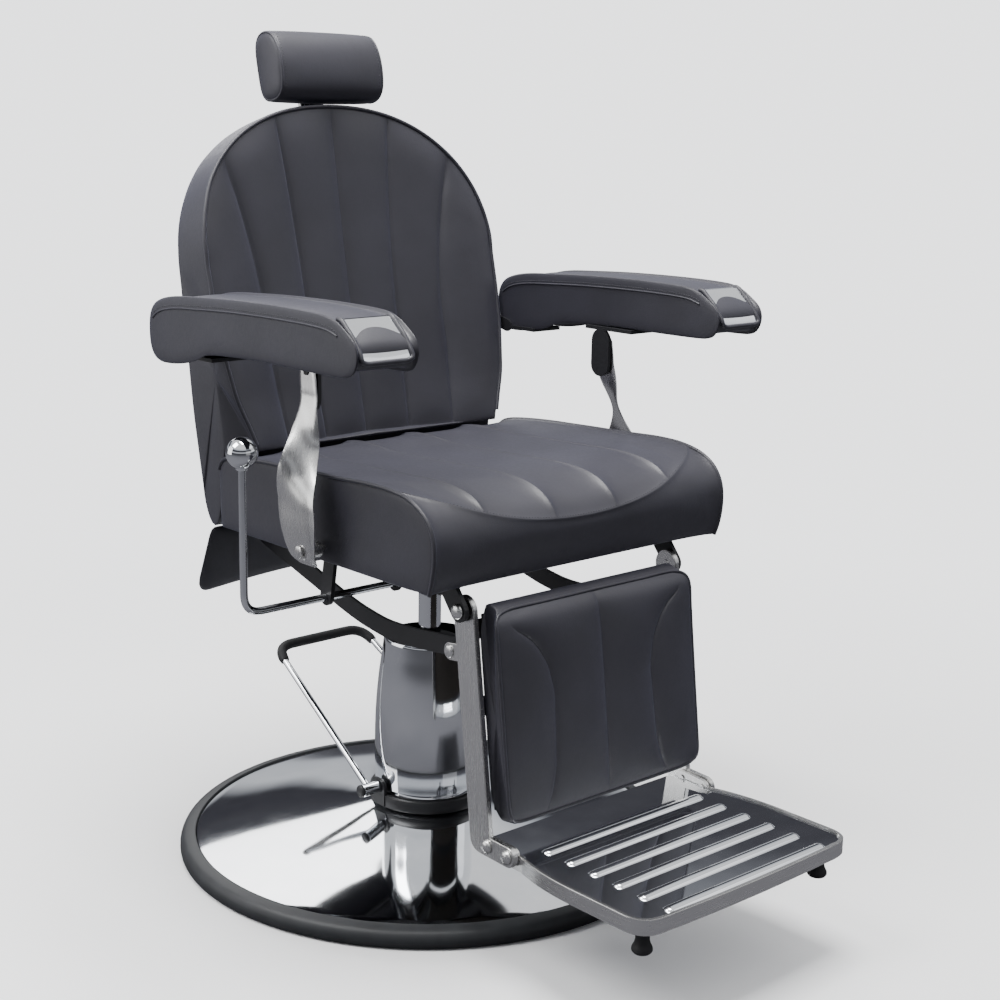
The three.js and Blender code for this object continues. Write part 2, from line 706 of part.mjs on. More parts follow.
function makeStrap({ name, s }) {
  const top = strapTop.z + 10;
  const bend = [
    [strap.topX, top],
    [strap.topX, strapTop.z - 30],
    [strap.topX + 11, strapTop.z - 80],
    [strap.bulgeX - 3, strapPivot.z + 98],
    [strap.bulgeX, strapPivot.z + 66],
    [strap.bulgeX, strapPivot.z + 22],
    [strap.bulgeX - 4, strapPivot.z - 6],
    [strap.bulgeX - 12, strapPivot.z - strap.foot],
  ];
  const mirrored = bend.map(([x, z]) => [s * x, z]);
  const strip = slabY(ribbon(s > 0 ? mirrored : mirrored.reverse(), strap.thickness), -250, 150);
  const half = [
    [8, top],
    [13, strapTop.z + 5],
    [17, strapTop.z - 8],
    [19, strapTop.z - 60],
    [24, strapPivot.z + 112],
    [35, strapPivot.z + 72],
    [37, strapPivot.z + 40],
    [31, strapPivot.z + 8],
    [20, strapPivot.z - strap.foot],
  ];
  const centre = (z) => strapPivot.y + ((z - strapPivot.z) / armRise.z) * armRise.y;
  const outline = polygon([
    ...half.map(([w, z]) => [centre(z) + w, z]),
    ...half.map(([w, z]) => [centre(z) - w, z]).reverse(),
  ]);
  let piece = common(strip, slabX(outline, s * (strap.topX - 10), s * (strap.bulgeX + 10)));
  const bossIn = seat.halfWidth + 5;
  piece = join(piece, pinX(strapPivot, 11, s * bossIn, s * (strap.bulgeX + 1)));
  piece = cut(piece, pinX(strapPivot, boltRadius + fit, s * (bossIn - 1), s * (strap.bulgeX - 0.5)));
  piece = cut(piece, pinX(strapTop, 5 + fit, s * (strap.topX - 2), s * (strap.topX + strap.thickness + 2)));
  add("arm_strap_" + name, piece, stainless);
}

// Link bars: flat bars that carry the back's swing to the leg rest
function makeLink({ name, s }) {
  const slope = (y) => frontPin.z + ((y - frontPin.y) / (rearPin.y - frontPin.y)) * (rearPin.z - frontPin.z);
  const line = [
    [frontPin.y, frontPin.z],
    [-134, slope(-134) - link.dip - 6],
    [-71, slope(-71) - link.dip - 10],
    [-17, slope(-17) - link.dip - 6],
    [28, slope(28) - link.dip + 1],
    [90, slope(90) - link.dip + 10],
    [rearPin.y, rearPin.z],
  ];
  const [x0, x1] = [s * (linkX - link.thickness / 2), s * (linkX + link.thickness / 2)];
  let bar = slabX(barOutline(line, link.halfHeight), x0, x1);
  for (const pin of [frontPin, rearPin]) bar = cut(bar, pinX(pin, boltRadius + fit, x0 - s, x1 + s));
  add("link_bar_" + name, bar, blackSteel);
}

// Leg rest and foot rest
function railAt(distance) {
  return { y: legPivot.y - Math.sin(rail.lean) * distance, z: legPivot.z - Math.cos(rail.lean) * distance };
}

const railFoot = railAt(rail.length - 6);
const footZ = railFoot.z - foot.drop; // middle of the foot rest's flat bar
const footBolts = [
  { y: railFoot.y - 14, z: footZ + 8 },
  { y: railFoot.y - 50, z: footZ + 6 },
];

// Origin at the leg pivot and leaning with the rails
const legGroup = new THREE.Group();
legGroup.position.set(0, legPivot.y, legPivot.z);
legGroup.rotation.x = -rail.lean;
chair.add(legGroup);

function makeRail({ name, s }) {
  const [x0, x1] = [s * (rail.outer - rail.thickness), s * rail.outer];
  let bar = slabX(stadium(legPivot, railFoot, rail.width / 2), x0, x1, 6);
  bar = join(bar, slabX(stadium({ y: frontPin.y - 34, z: frontPin.z + 4 }, frontPin, 11), x0, x1, 5));
  bar = join(bar, slabX(stadium({ y: railFoot.y, z: footZ + 8 }, footBolts[1], 13), x0, x1, 5));
  bar = cut(bar, pinX(legPivot, boltRadius + fit, x0 - s, x1 + s));
  for (const bolt of footBolts) bar = cut(bar, pinX(bolt, 5 + gap, x0 - s, x1 + s));
  const linkIn = linkX - link.thickness / 2 - 3;
  bar = join(bar, pinX(frontPin, boltRadius, s * linkIn, s * (rail.outer - 1)));
  add("legrest_rail_" + name, bar, stainless);
}

function makeLegPad() {
  const inside = rail.outer - rail.thickness - 3;
  const side = polygon([
    [pad.back, pad.bottom],
    [pad.back, pad.top],
    [pad.front + 10, pad.top],
    [pad.front + 3, pad.top - 4],
    [pad.front, pad.top - 12],
    [pad.front, pad.bottom + 10],
    [pad.front + 8, pad.bottom],
  ]);
  const face = rounded(-inside, inside, pad.bottom, pad.top, 14);
  add("legrest_pad", common(slabX(side, -inside, inside), slabY(face, pad.front, pad.back, 4)), leather, legGroup);
  const behind = pad.back + gap;
  const plate = box(-inside + 12, inside - 12, behind, behind + pad.board, pad.bottom + 14, pad.top - 14);
  add("legrest_board", plate, plywood, legGroup);
  const barIn = behind + pad.board + gap;
  const reach = rail.outer - rail.thickness - gap;
  for (const [label, z] of [["upper", -26], ["lower", -122]]) {
    const bar = box(-reach, reach, barIn, barIn + 4, z - 12, z + 12);
    add("legrest_crossbar_" + label, bar, blackSteel, legGroup);
  }
}

function makeFootFrame() {
  const reach = rail.outer - rail.thickness - gap;
  const start = footBolts[0].y + 12;
  const path = new THREE.Path();
  path.moveTo(-reach, start);
  path.lineTo(-reach, footBolts[1].y - 16);
  path.quadraticCurveTo(-foot.halfWidth, -430, -foot.halfWidth, -490);
  path.lineTo(-foot.halfWidth, foot.front + foot.corner);
  path.quadraticCurveTo(-foot.halfWidth, foot.front + 4, -foot.halfWidth + foot.corner, foot.front + 4);
  path.quadraticCurveTo(0, foot.front - 4, foot.halfWidth - foot.corner, foot.front + 4);
  path.quadraticCurveTo(foot.halfWidth, foot.front + 4, foot.halfWidth, foot.front + foot.corner);
  path.lineTo(foot.halfWidth, -490);
  path.quadraticCurveTo(foot.halfWidth, -430, reach, footBolts[1].y - 16);
  path.lineTo(reach, start);
  return path.getPoints(5).map(({ x, y }) => [x, y]);
}

function makeFootrest() {
  const line = makeFootFrame();
  const [low, high] = [footZ - foot.height / 2, footZ + foot.height / 2];
  let bar = slabZ(ribbon(line, foot.thickness), low, high);
  for (const { s } of sides) {
    const [inner, outer] = [rail.outer - rail.thickness - foot.thickness - 3, rail.outer - rail.thickness - gap];
    const lug = stadium(footBolts[0], footBolts[1], 11);
    bar = join(bar, slabX(lug, s * (inner + 3 - gap), s * outer, 4));
    for (const bolt of footBolts) bar = cut(bar, pinX(bolt, 5 + gap, s * inner, s * (outer + 1)));
  }
  add("footrest_frame", bar, stainless);
  const inset = ribbon(line, foot.thickness + gap).getPoints().slice(line.length).reverse();
  const inside = inset.map(({ x, y }) => [x, Math.min(y, footBolts[1].y - 14)]);
  const sheet = polygon(inside.filter(([, y], i) => i === 0 || y !== inside[i - 1][1] || i === inside.length - 1));
  let plate = slabZ(sheet, high - 5, high - 2.5);
  const apron = rail.outer - rail.thickness - foot.thickness - 3.5;
  plate = join(plate, box(-apron, apron, footBolts[1].y - 20, railFoot.y + 6, high - 5, high - 2.5));
  for (let i = 0; i < foot.ribs; i += 1) {
    const y = foot.front + 16 + i * foot.ribStep;
    const ribHalf = foot.halfWidth - 47;
    const shape = rounded(-ribHalf, ribHalf, y - 6, y + 6, 5.9);
    plate = join(plate, slabZ(shape, high - 4, high + 1.5, 2));
  }
  add("footrest_plate", plate, chrome);
  for (const { name, s } of sides) {
    const rubber = turned([
      [0, low - 34],
      [8, low - 34],
      [11, low - 28],
      [11, low - 10],
      [5, low - 8],
      [5, high - 5 - gap],
      [0, high - 5 - gap],
    ], 16).translate(s * (foot.halfWidth - 30), foot.front + 34, 0);
    add("footrest_stop_" + name, rubber, blackRubber);
    footBolts.forEach((bolt, i) => {
      const shank = [s * (rail.outer - rail.thickness - foot.thickness - 2), s * (rail.outer + 1)];
      const piece = join(
        pinX(bolt, 5, ...shank),
        pinX(bolt, 8.5, s * (rail.outer + gap), s * (rail.outer + 5)),
      );
      add(`footrest_bolt_${name}_${i + 1}`, piece, stainless);
    });
  }
}

function makeLever() {
  const end = [lever.innerX, lever.y, lever.z];
  const corner = [lever.x, lever.y, lever.z];
  const top = [lever.x, lever.y, lever.knobZ - lever.knobRadius + 3];
  add("recline_lever", rod(bentPath([end, corner, top], 24), lever.rod, 22), chrome);
  const knob = new THREE.SphereGeometry(lever.knobRadius, 16, 10).translate(...corner.slice(0, 2), lever.knobZ);
  const seatHole = slabZ(new THREE.Shape().absarc(lever.x, lever.y, lever.rod + gap, 0, Math.PI * 2), 0, top[2] + gap);
  add("recline_knob", cut(knob, seatHole), chrome);
}

function makeLock() {
  const rear = lock.frontY + lock.length;
  const axis = new THREE.Vector3(lock.x, 0, lock.z);
  const along = (radius, y0, y1, segments = 20) =>
    new THREE.CylinderGeometry(radius, radius, y1 - y0, segments).translate(axis.x, (y0 + y1) / 2, axis.z);
  const eye = { y: lock.frontY, z: lock.z };
  const width = lock.radius - 2;
  let barrel = join(along(lock.radius, lock.frontY + 12, rear), pinX(eye, 13, lock.x - width, lock.x + width));
  barrel = cut(barrel, pinX(eye, boltRadius + fit, lock.x - 20, lock.x + 20));
  barrel = cut(barrel, along(lock.rod + fit, lock.frontY + 40, rear + 2));
  add("lock_cylinder", barrel, blackSteel);
  const eyeHole = boltRadius + lock.eyePlay;
  const rearEye = { y: rearPin.y, z: lock.z };
  let shaft = join(along(lock.rod, lock.frontY + 100, rearPin.y - eyeHole - 1), pinX(rearEye, eyeHole + 3, lock.x - 8, lock.x + 8));
  shaft = cut(shaft, pinX(rearEye, eyeHole, lock.x - 12, lock.x + 12));
  add("lock_rod", shaft, chrome);
}

makeBase();
makePump();
makePedal();
makeSeat();
makeSeatFrame();
makeSwivel();
makeBack();
makeCranks();
makeTail();
makeHeadrest();
makeLegPad();
makeFootrest();
makeLever();
makeLock();
for (const side of sides) {
  makeSeatBolts(side);
  makeArm(side);
  makeStrap(side);
  makeLink(side);
  makeRail(side);
}

export default chair;
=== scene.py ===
# Hydraulic barber chair: the looks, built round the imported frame. Metres, +Z up, the chair faces -Y.
import bpy
import bmesh
import math
from mathutils import Matrix, Vector


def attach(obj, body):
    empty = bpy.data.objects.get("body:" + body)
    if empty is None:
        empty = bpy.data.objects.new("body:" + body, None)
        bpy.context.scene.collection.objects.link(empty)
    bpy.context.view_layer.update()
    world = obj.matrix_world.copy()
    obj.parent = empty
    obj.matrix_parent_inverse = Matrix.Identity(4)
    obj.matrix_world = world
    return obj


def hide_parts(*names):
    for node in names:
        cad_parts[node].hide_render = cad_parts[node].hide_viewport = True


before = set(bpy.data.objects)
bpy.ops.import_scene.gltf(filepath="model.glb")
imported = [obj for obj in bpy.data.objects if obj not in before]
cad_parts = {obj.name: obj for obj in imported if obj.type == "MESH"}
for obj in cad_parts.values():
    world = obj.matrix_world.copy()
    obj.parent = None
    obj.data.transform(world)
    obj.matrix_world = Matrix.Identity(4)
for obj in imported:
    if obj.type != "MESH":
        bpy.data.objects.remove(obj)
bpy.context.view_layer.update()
mm = 0.001
print("frame loaded")


def toLinear(hexText):
    channels = [int(hexText[i:i + 2], 16) / 255 for i in (1, 3, 5)]
    linear = [c / 12.92 if c <= 0.04045 else ((c + 0.055) / 1.055) ** 2.4 for c in channels]
    return (*linear, 1.0)


def addNode(tree, kind, inputs=None, **settings):
    node = tree.nodes.new("ShaderNode" + kind)
    for key, value in settings.items():
        setattr(node, key, value)
    for key, value in (inputs or {}).items():
        if isinstance(value, bpy.types.NodeSocket):
            tree.links.new(value, node.inputs[key])
        else:
            node.inputs[key].default_value = value
    return node


def startMaterial(name):
    material = bpy.data.materials.new(name)
    material.use_nodes = True
    tree = material.node_tree
    shader = tree.nodes["Principled BSDF"]
    place = addNode(tree, "TexCoord").outputs["Object"]
    return material, tree, shader, place


def mixBetween(tree, factor, first, second):
    mix = addNode(tree, "Mix", {"Factor": factor, 6: first, 7: second}, data_type="RGBA")
    return mix.outputs[2]


def remap(tree, value, low, high):
    return addNode(tree, "MapRange", {"Value": value, "To Min": low, "To Max": high}).outputs["Result"]


def smooth(t):
    t = min(max(t, 0.0), 1.0)
    return t * t * (3 - 2 * t)


def between(x, table):
    # Straight-line reading of a table of (x, value) pairs.
    if x <= table[0][0]:
        return table[0][1]
    for (x0, y0), (x1, y1) in zip(table, table[1:]):
        if x <= x1:
            return y0 + (y1 - y0) * (x - x0) / (x1 - x0)
    return table[-1][1]


def curveThrough(points, steps=10, closed=False):
    pts = [Vector(p) for p in points]
    count = len(pts)
    line = []
    for i in range(count if closed else count - 1):
        p1 = pts[i]
        p2 = pts[(i + 1) % count]
        p0 = pts[i - 1] if closed or i > 0 else p1 * 2 - p2
        p3 = pts[(i + 2) % count] if closed or i + 2 < count else p2 * 2 - p1
        for k in range(steps):
            t = k / steps
            line.append(0.5 * (2 * p1 + (p2 - p0) * t + (2 * p0 - 5 * p1 + 4 * p2 - p3) * t * t
                               + (3 * p1 - p0 - 3 * p2 + p3) * t ** 3))
    if not closed:
        line.append(pts[-1])
    return line


def lengthsOf(line):
    total = [0.0]
    for a, b in zip(line, line[1:]):
        total.append(total[-1] + (b - a).length)
    return total


def pointAt(line, lengths, distance):
    distance = min(max(distance, 0.0), lengths[-1])
    for i in range(1, len(line)):
        if distance <= lengths[i]:
            span = lengths[i] - lengths[i - 1]
            return line[i - 1].lerp(line[i], (distance - lengths[i - 1]) / span if span else 0.0)
    return line[-1].copy()


def makePiece(name, verts, faces, material, sharp=35):
    mesh = bpy.data.meshes.new(name)
    mesh.from_pydata([tuple(v) for v in verts], [], faces)
    mesh.validate()
    work = bmesh.new()
    work.from_mesh(mesh)
    bmesh.ops.remove_doubles(work, verts=work.verts, dist=0.00002)
    bmesh.ops.recalc_face_normals(work, faces=work.faces)
    work.to_mesh(mesh)
    work.free()
    mesh.shade_smooth()
    if sharp:
        mesh.set_sharp_from_angle(angle=math.radians(sharp))
    mesh.materials.append(material)
    piece = bpy.data.objects.new(name, mesh)
    bpy.context.scene.collection.objects.link(piece)
    return piece


def finishPiece(piece, body, slotName, *nodes):
    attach(piece, body)
    if nodes:
        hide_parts(*nodes)
    return piece


def lathe(name, profile, material, segments=96, sharp=35, centre=(0, 0), closed=True):
    # A profile of (radius, height) in mm turned about an upright line; closed rings or axis to axis.
    verts = []
    faces = []
    count = len(profile)
    for i in range(segments):
        turn = 2 * math.pi * i / segments
        for r, z in profile:
            x = centre[0] + r * math.cos(turn)
            y = centre[1] + r * math.sin(turn)
            verts.append((x * mm, y * mm, z * mm))
    for i in range(segments):
        j = (i + 1) % segments
        for k in range(count if closed else count - 1):
            n = (k + 1) % count
            faces.append((i * count + k, j * count + k, j * count + n, i * count + n))
    return makePiece(name, verts, faces, material, sharp)


def tubeAlong(name, line, radius, material, sides=14, closed=False):
    # A round rod along a line of points in mm, with flat ends. radius may be a list.
    line = [Vector(p) for p in line]
    count = len(line)
    radii = radius if isinstance(radius, list) else [radius] * count
    verts = []
    faces = []
    side = None
    for i in range(count):
        ahead = line[(i + 1) % count] if closed or i + 1 < count else line[i]
        behind = line[i - 1] if closed or i > 0 else line[i]
        along = (ahead - behind).normalized()
        if side is None:
            side = along.orthogonal().normalized()
        side = (side - along * side.dot(along)).normalized()
        other = along.cross(side)
        for k in range(sides):
            turn = 2 * math.pi * k / sides
            verts.append((line[i] + (side * math.cos(turn) + other * math.sin(turn)) * radii[i]) * mm)
    for i in range(count if closed else count - 1):
        j = (i + 1) % count
        for k in range(sides):
            n = (k + 1) % sides
            faces.append((i * sides + k, i * sides + n, j * sides + n, j * sides + k))
    if not closed:
        faces.append(tuple(range(sides)))
        faces.append(tuple(range((count - 1) * sides, count * sides)))
    return makePiece(name, verts, faces, material, 50)


def bentLine(points, bend, steps=8):
    # Straight runs with a round bend at each inner point.
    corners = [Vector(p) for p in points]
    line = [corners[0]]
    for before, corner, after in zip(corners, corners[1:], corners[2:]):
        start = corner + (before - corner).normalized() * bend
        end = corner + (after - corner).normalized() * bend
        for k in range(steps + 1):
            t = k / steps
            line.append(start * (1 - t) ** 2 + corner * 2 * t * (1 - t) + end * t * t)
    line.append(corners[-1])
    return line


def evenly(line, step):
    lengths = lengthsOf(line)
    count = max(2, round(lengths[-1] / step))
    return [pointAt(line, lengths, lengths[-1] * i / count) for i in range(count + 1)]


def plate(name, outline, depth, direction, material, bevel=0.8, segments=2):
    # A flat outline (3-D points in mm) pushed by a depth along a direction, with its edges eased.
    work = bmesh.new()
    push = Vector(direction).normalized() * depth
    rim = [work.verts.new(Vector(p) * mm) for p in outline]
    far = [work.verts.new((Vector(p) + push) * mm) for p in outline]
    count = len(rim)
    work.faces.new(rim)
    work.faces.new(list(reversed(far)))
    for i in range(count):
        j = (i + 1) % count
        work.faces.new((rim[j], rim[i], far[i], far[j]))
    bmesh.ops.recalc_face_normals(work, faces=work.faces)
    edges = [e for e in work.edges if len(e.link_faces) == 2 and e.calc_face_angle() > math.radians(50)]
    bmesh.ops.bevel(work, geom=edges, offset=bevel * mm, segments=segments, affect="EDGES",
                    clamp_overlap=True)
    mesh = bpy.data.meshes.new(name)
    work.to_mesh(mesh)
    work.free()
    mesh.shade_smooth()
    mesh.set_sharp_from_angle(angle=math.radians(38))
    mesh.materials.append(material)
    piece = bpy.data.objects.new(name, mesh)
    bpy.context.scene.collection.objects.link(piece)
    return piece


def joinPieces(name, pieces):
    work = bmesh.new()
    for piece in pieces:
        work.from_mesh(piece.data)
    mesh = pieces[0].data
    work.to_mesh(mesh)
    work.free()
    for piece in pieces[1:]:
        bpy.data.objects.remove(piece)
    pieces[0].name = name
    return pieces[0]


def embossedLeatherette():
    # PVC-coated cloth, embossed with a fine pebble grain: deep charcoal, with a soft bluish sheen where tight
    material, tree, shader, place = startMaterial("embossedLeatherette")
    grainSize = 2.0 * mm  # real pebbles are about 1 mm; drawn coarser so that they show
    pebble = addNode(tree, "TexVoronoi", {"Vector": place, "Scale": 1 / grainSize}).outputs["Distance"]
    pores = addNode(tree, "TexNoise", {"Vector": place, "Scale": 1 / (5 * mm), "Detail": 4}).outputs["Fac"]
    cloud = addNode(tree, "TexNoise", {"Vector": place, "Scale": 1 / (90 * mm), "Detail": 3}).outputs["Fac"]
    tone = mixBetween(tree, cloud, toLinear("#26252a"), toLinear("#34333b"))
    tree.links.new(tone, shader.inputs["Base Color"])
    tree.links.new(remap(tree, pores, 0.40, 0.56), shader.inputs["Roughness"])
    shader.inputs["Specular IOR Level"].default_value = 0.55
    shader.inputs["Sheen Weight"].default_value = 0.16
    shader.inputs["Sheen Roughness"].default_value = 0.45
    shader.inputs["Sheen Tint"].default_value = toLinear("#a9aed0")
    fine = addNode(tree, "Bump", {"Height": pebble, "Strength": 0.22,
                                  "Distance": 0.25 * mm}).outputs["Normal"]
    soft = addNode(tree, "Bump", {"Height": pores, "Strength": 0.12, "Distance": 0.8 * mm, "Normal": fine})
    wide = addNode(tree, "Bump", {"Height": cloud, "Strength": 0.22, "Distance": 6 * mm,
                                  "Normal": soft.outputs["Normal"]})
    tree.links.new(wide.outputs["Normal"], shader.inputs["Normal"])
    return material


def bondedThread():
    # Bonded polyester sewing thread, twisted: a dull line a shade lighter than the cover
    material, tree, shader, place = startMaterial("bondedThread")
    twist = addNode(tree, "TexNoise", {"Vector": place, "Scale": 1 / (1.2 * mm), "Detail": 2}).outputs["Fac"]
    tone = mixBetween(tree, twist, toLinear("#2b2b30"), toLinear("#45454c"))
    tree.links.new(tone, shader.inputs["Base Color"])
    shader.inputs["Roughness"].default_value = 0.62
    return material


def chromePlate(name="chromePlate", haze=0.05):
    # Nickel-chrome plating on polished steel: a clear mirror with a faint film of handling
    material, tree, shader, place = startMaterial(name)
    film = addNode(tree, "TexNoise", {"Vector": place, "Scale": 1 / (35 * mm), "Detail": 6}).outputs["Fac"]
    colour = mixBetween(tree, film, toLinear("#dfe2e6"), toLinear("#f1f2f4"))
    tree.links.new(colour, shader.inputs["Base Color"])
    shader.inputs["Metallic"].default_value = 1.0
    tree.links.new(remap(tree, film, haze * 0.6, haze * 1.7), shader.inputs["Roughness"])
    ripple = addNode(tree, "TexNoise", {"Vector": place, "Scale": 1 / (60 * mm), "Detail": 1}).outputs["Fac"]
    bump = addNode(tree, "Bump", {"Height": ripple, "Strength": 0.05, "Distance": 1.5 * mm})
    tree.links.new(bump.outputs["Normal"], shader.inputs["Normal"])
    return material


def brushedStainless(name, stretch):
    # Stainless flat bar, brushed along its length: bright, with fine streaks that draw the light out
    material, tree, shader, place = startMaterial(name)
    lay = addNode(tree, "Mapping", {"Vector": place, "Scale": stretch}).outputs["Vector"]
    streak = addNode(tree, "TexNoise", {"Vector": lay, "Scale": 1 / (2.2 * mm), "Detail": 3}).outputs["Fac"]
    colour = mixBetween(tree, streak, toLinear("#cfcfce"), toLinear("#e6e5e3"))
    tree.links.new(colour, shader.inputs["Base Color"])
    shader.inputs["Metallic"].default_value = 1.0
    tree.links.new(remap(tree, streak, 0.2, 0.32), shader.inputs["Roughness"])
    bump = addNode(tree, "Bump", {"Height": streak, "Strength": 0.04, "Distance": 0.1 * mm})
    tree.links.new(bump.outputs["Normal"], shader.inputs["Normal"])
    return material


def powderCoat():
    # Black epoxy powder, baked on steel: satin, with a slight orange peel
    material, tree, shader, place = startMaterial("powderCoat")
    peel = addNode(tree, "TexNoise", {"Vector": place, "Scale": 1 / (2.5 * mm), "Detail": 2}).outputs["Fac"]
    colour = mixBetween(tree, peel, toLinear("#1b1b1e"), toLinear("#27272a"))
    tree.links.new(colour, shader.inputs["Base Color"])
    tree.links.new(remap(tree, peel, 0.36, 0.5), shader.inputs["Roughness"])
    bump = addNode(tree, "Bump", {"Height": peel, "Strength": 0.18, "Distance": 0.2 * mm})
    tree.links.new(bump.outputs["Normal"], shader.inputs["Normal"])
    return material


def paintedCasting():
    # Grey iron, sand cast and primed: dull, with a sandy tooth
    material, tree, shader, place = startMaterial("paintedCasting")
    sand = addNode(tree, "TexNoise", {"Vector": place, "Scale": 1 / (3 * mm), "Detail": 6}).outputs["Fac"]
    colour = mixBetween(tree, sand, toLinear("#2c2d30"), toLinear("#45464a"))
    tree.links.new(colour, shader.inputs["Base Color"])
    shader.inputs["Roughness"].default_value = 0.72
    bump = addNode(tree, "Bump", {"Height": sand, "Strength": 0.4, "Distance": 0.5 * mm})
    tree.links.new(bump.outputs["Normal"], shader.inputs["Normal"])
    return material


def mouldedRubber(name, dark, light, rough):
    # Vulcanised rubber, moulded: matt with a fine dusting that greys the high spots
    material, tree, shader, place = startMaterial(name)
    dust = addNode(tree, "TexNoise", {"Vector": place, "Scale": 1 / (25 * mm), "Detail": 8}).outputs["Fac"]
    tree.links.new(mixBetween(tree, dust, toLinear(dark), toLinear(light)), shader.inputs["Base Color"])
    tree.links.new(remap(tree, dust, rough - 0.08, rough + 0.1), shader.inputs["Roughness"])
    skin = addNode(tree, "TexNoise", {"Vector": place, "Scale": 1 / (1.5 * mm), "Detail": 2}).outputs["Fac"]
    bump = addNode(tree, "Bump", {"Height": skin, "Strength": 0.12, "Distance": 0.2 * mm})
    tree.links.new(bump.outputs["Normal"], shader.inputs["Normal"])
    return material


def stainedPlywood():
    # Birch plywood, sawn and stained black-brown: dull, with drawn-out grain
    material, tree, shader, place = startMaterial("stainedPlywood")
    lay = addNode(tree, "Mapping", {"Vector": place, "Scale": (1, 12, 12)}).outputs["Vector"]
    grain = addNode(tree, "TexNoise", {"Vector": lay, "Scale": 1 / (30 * mm), "Detail": 6}).outputs["Fac"]
    colour = mixBetween(tree, grain, toLinear("#1d1916"), toLinear("#332b25"))
    tree.links.new(colour, shader.inputs["Base Color"])
    shader.inputs["Roughness"].default_value = 0.75
    bump = addNode(tree, "Bump", {"Height": grain, "Strength": 0.2, "Distance": 0.3 * mm})
    tree.links.new(bump.outputs["Normal"], shader.inputs["Normal"])
    return material


leatherette = embossedLeatherette()
thread = bondedThread()
chrome = chromePlate()
darkChrome = chromePlate("blackNickelPlate", 0.09)
stainless = brushedStainless("stainlessBrushedUpright", (1, 1, 0.03))
stainlessLevel = brushedStainless("stainlessBrushedLevel", (0.05, 0.05, 1))
blackSteel = powderCoat()
casting = paintedCasting()
rimRubber = mouldedRubber("rimRubber", "#1b1c1e", "#35373a", 0.5)
gripRubber = mouldedRubber("gripRubber", "#111113", "#1f1f22", 0.66)
plywood = stainedPlywood()
print("materials made")


def gapTo(p, a, b):
    run = b - a
    share = min(max((p - a).dot(run) / max(run.length_squared, 1e-9), 0.0), 1.0)
    return (p - a - run * share).length


def loopSolid(name, stations, material, capRings=4, capPuff=2.0, capRound=18.0):
    # Closed loops of points (mm), one for each station, bridged and closed at both ends by shrinking rings.
    count = len(stations[0])
    verts = [p * mm for loop in stations for p in loop]
    faces = []
    for i in range(len(stations) - 1):
        for k in range(count):
            n = (k + 1) % count
            faces.append((i * count + k, i * count + n, (i + 1) * count + n, (i + 1) * count + k))
    for end, inward in ((0, 1), (len(stations) - 1, -1)):
        loop = stations[end]
        centre = sum(loop, Vector()) / count
        away = (centre - sum(stations[end + inward], Vector()) / count).normalized()

        def puffAt(p):
            clear = min(gapTo(p, a, b) for a, b in zip(loop, loop[1:] + loop[:1]))
            return p + away * capPuff * math.sqrt(1 - (1 - min(clear / capRound, 1.0)) ** 2)

        ring = [end * count + k for k in range(count)]
        for r in range(1, capRings + 1):
            share = r / (capRings + 1)
            start = len(verts)
            verts += [puffAt(p.lerp(centre, share ** 1.3)) * mm for p in loop]
            new = [start + k for k in range(count)]
            for k in range(count):
                n = (k + 1) % count
                faces.append((ring[k], ring[n], new[n], new[k]))
            ring = new
        verts.append(puffAt(centre) * mm)
        for k in range(count):
            faces.append((ring[k], ring[(k + 1) % count], len(verts) - 1))
    return makePiece(name, verts, faces, material, 0)


def puffed(piece, pressure=4.0, cap=8.0, pinned=None):
    # Cloth filled with air for 20 frames: no point moves past the cap, and pinned points keep their place.
    scene = bpy.context.scene
    rest = [v.co.copy() for v in piece.data.vertices]
    if pinned:
        group = piece.vertex_groups.new(name="pinned")
        for i, co in enumerate(rest):
            amount = pinned(co / mm)
            if amount > 0:
                group.add([i], amount, "REPLACE")
    cloth = piece.modifiers.new("cloth", "CLOTH")
    cloth.settings.quality = 4
    cloth.settings.mass = 0.3
    cloth.settings.tension_stiffness = 12
    cloth.settings.compression_stiffness = 12
    cloth.settings.shear_stiffness = 6
    cloth.settings.bending_stiffness = 1.5
    cloth.settings.use_pressure = True
    cloth.settings.uniform_pressure_force = pressure
    cloth.settings.effector_weights.gravity = 0
    cloth.collision_settings.use_collision = False
    if pinned:
        cloth.settings.vertex_group_mass = "pinned"
    cloth.point_cache.frame_start = 1
    cloth.point_cache.frame_end = 20
    for f in range(1, 21):
        scene.frame_set(f)
    shaped = piece.evaluated_get(bpy.context.evaluated_depsgraph_get())
    found = [v.co.copy() for v in shaped.data.vertices]
    piece.modifiers.clear()
    scene.frame_set(1)
    for v, a, b in zip(piece.data.vertices, rest, found):
        move = b - a
        if move.length > cap * mm:
            move *= cap * mm / move.length
        v.co = a + move
    piece.vertex_groups.clear()
    return piece


def subdivided(piece, levels=1):
    modifier = piece.modifiers.new("subdivision", "SUBSURF")
    modifier.levels = levels
    modifier.render_levels = levels
    mesh = bpy.data.meshes.new_from_object(piece.evaluated_get(bpy.context.evaluated_depsgraph_get()))
    piece.modifiers.clear()
    old = piece.data
    piece.data = mesh
    bpy.data.meshes.remove(old)
    piece.data.shade_smooth()
    return piece


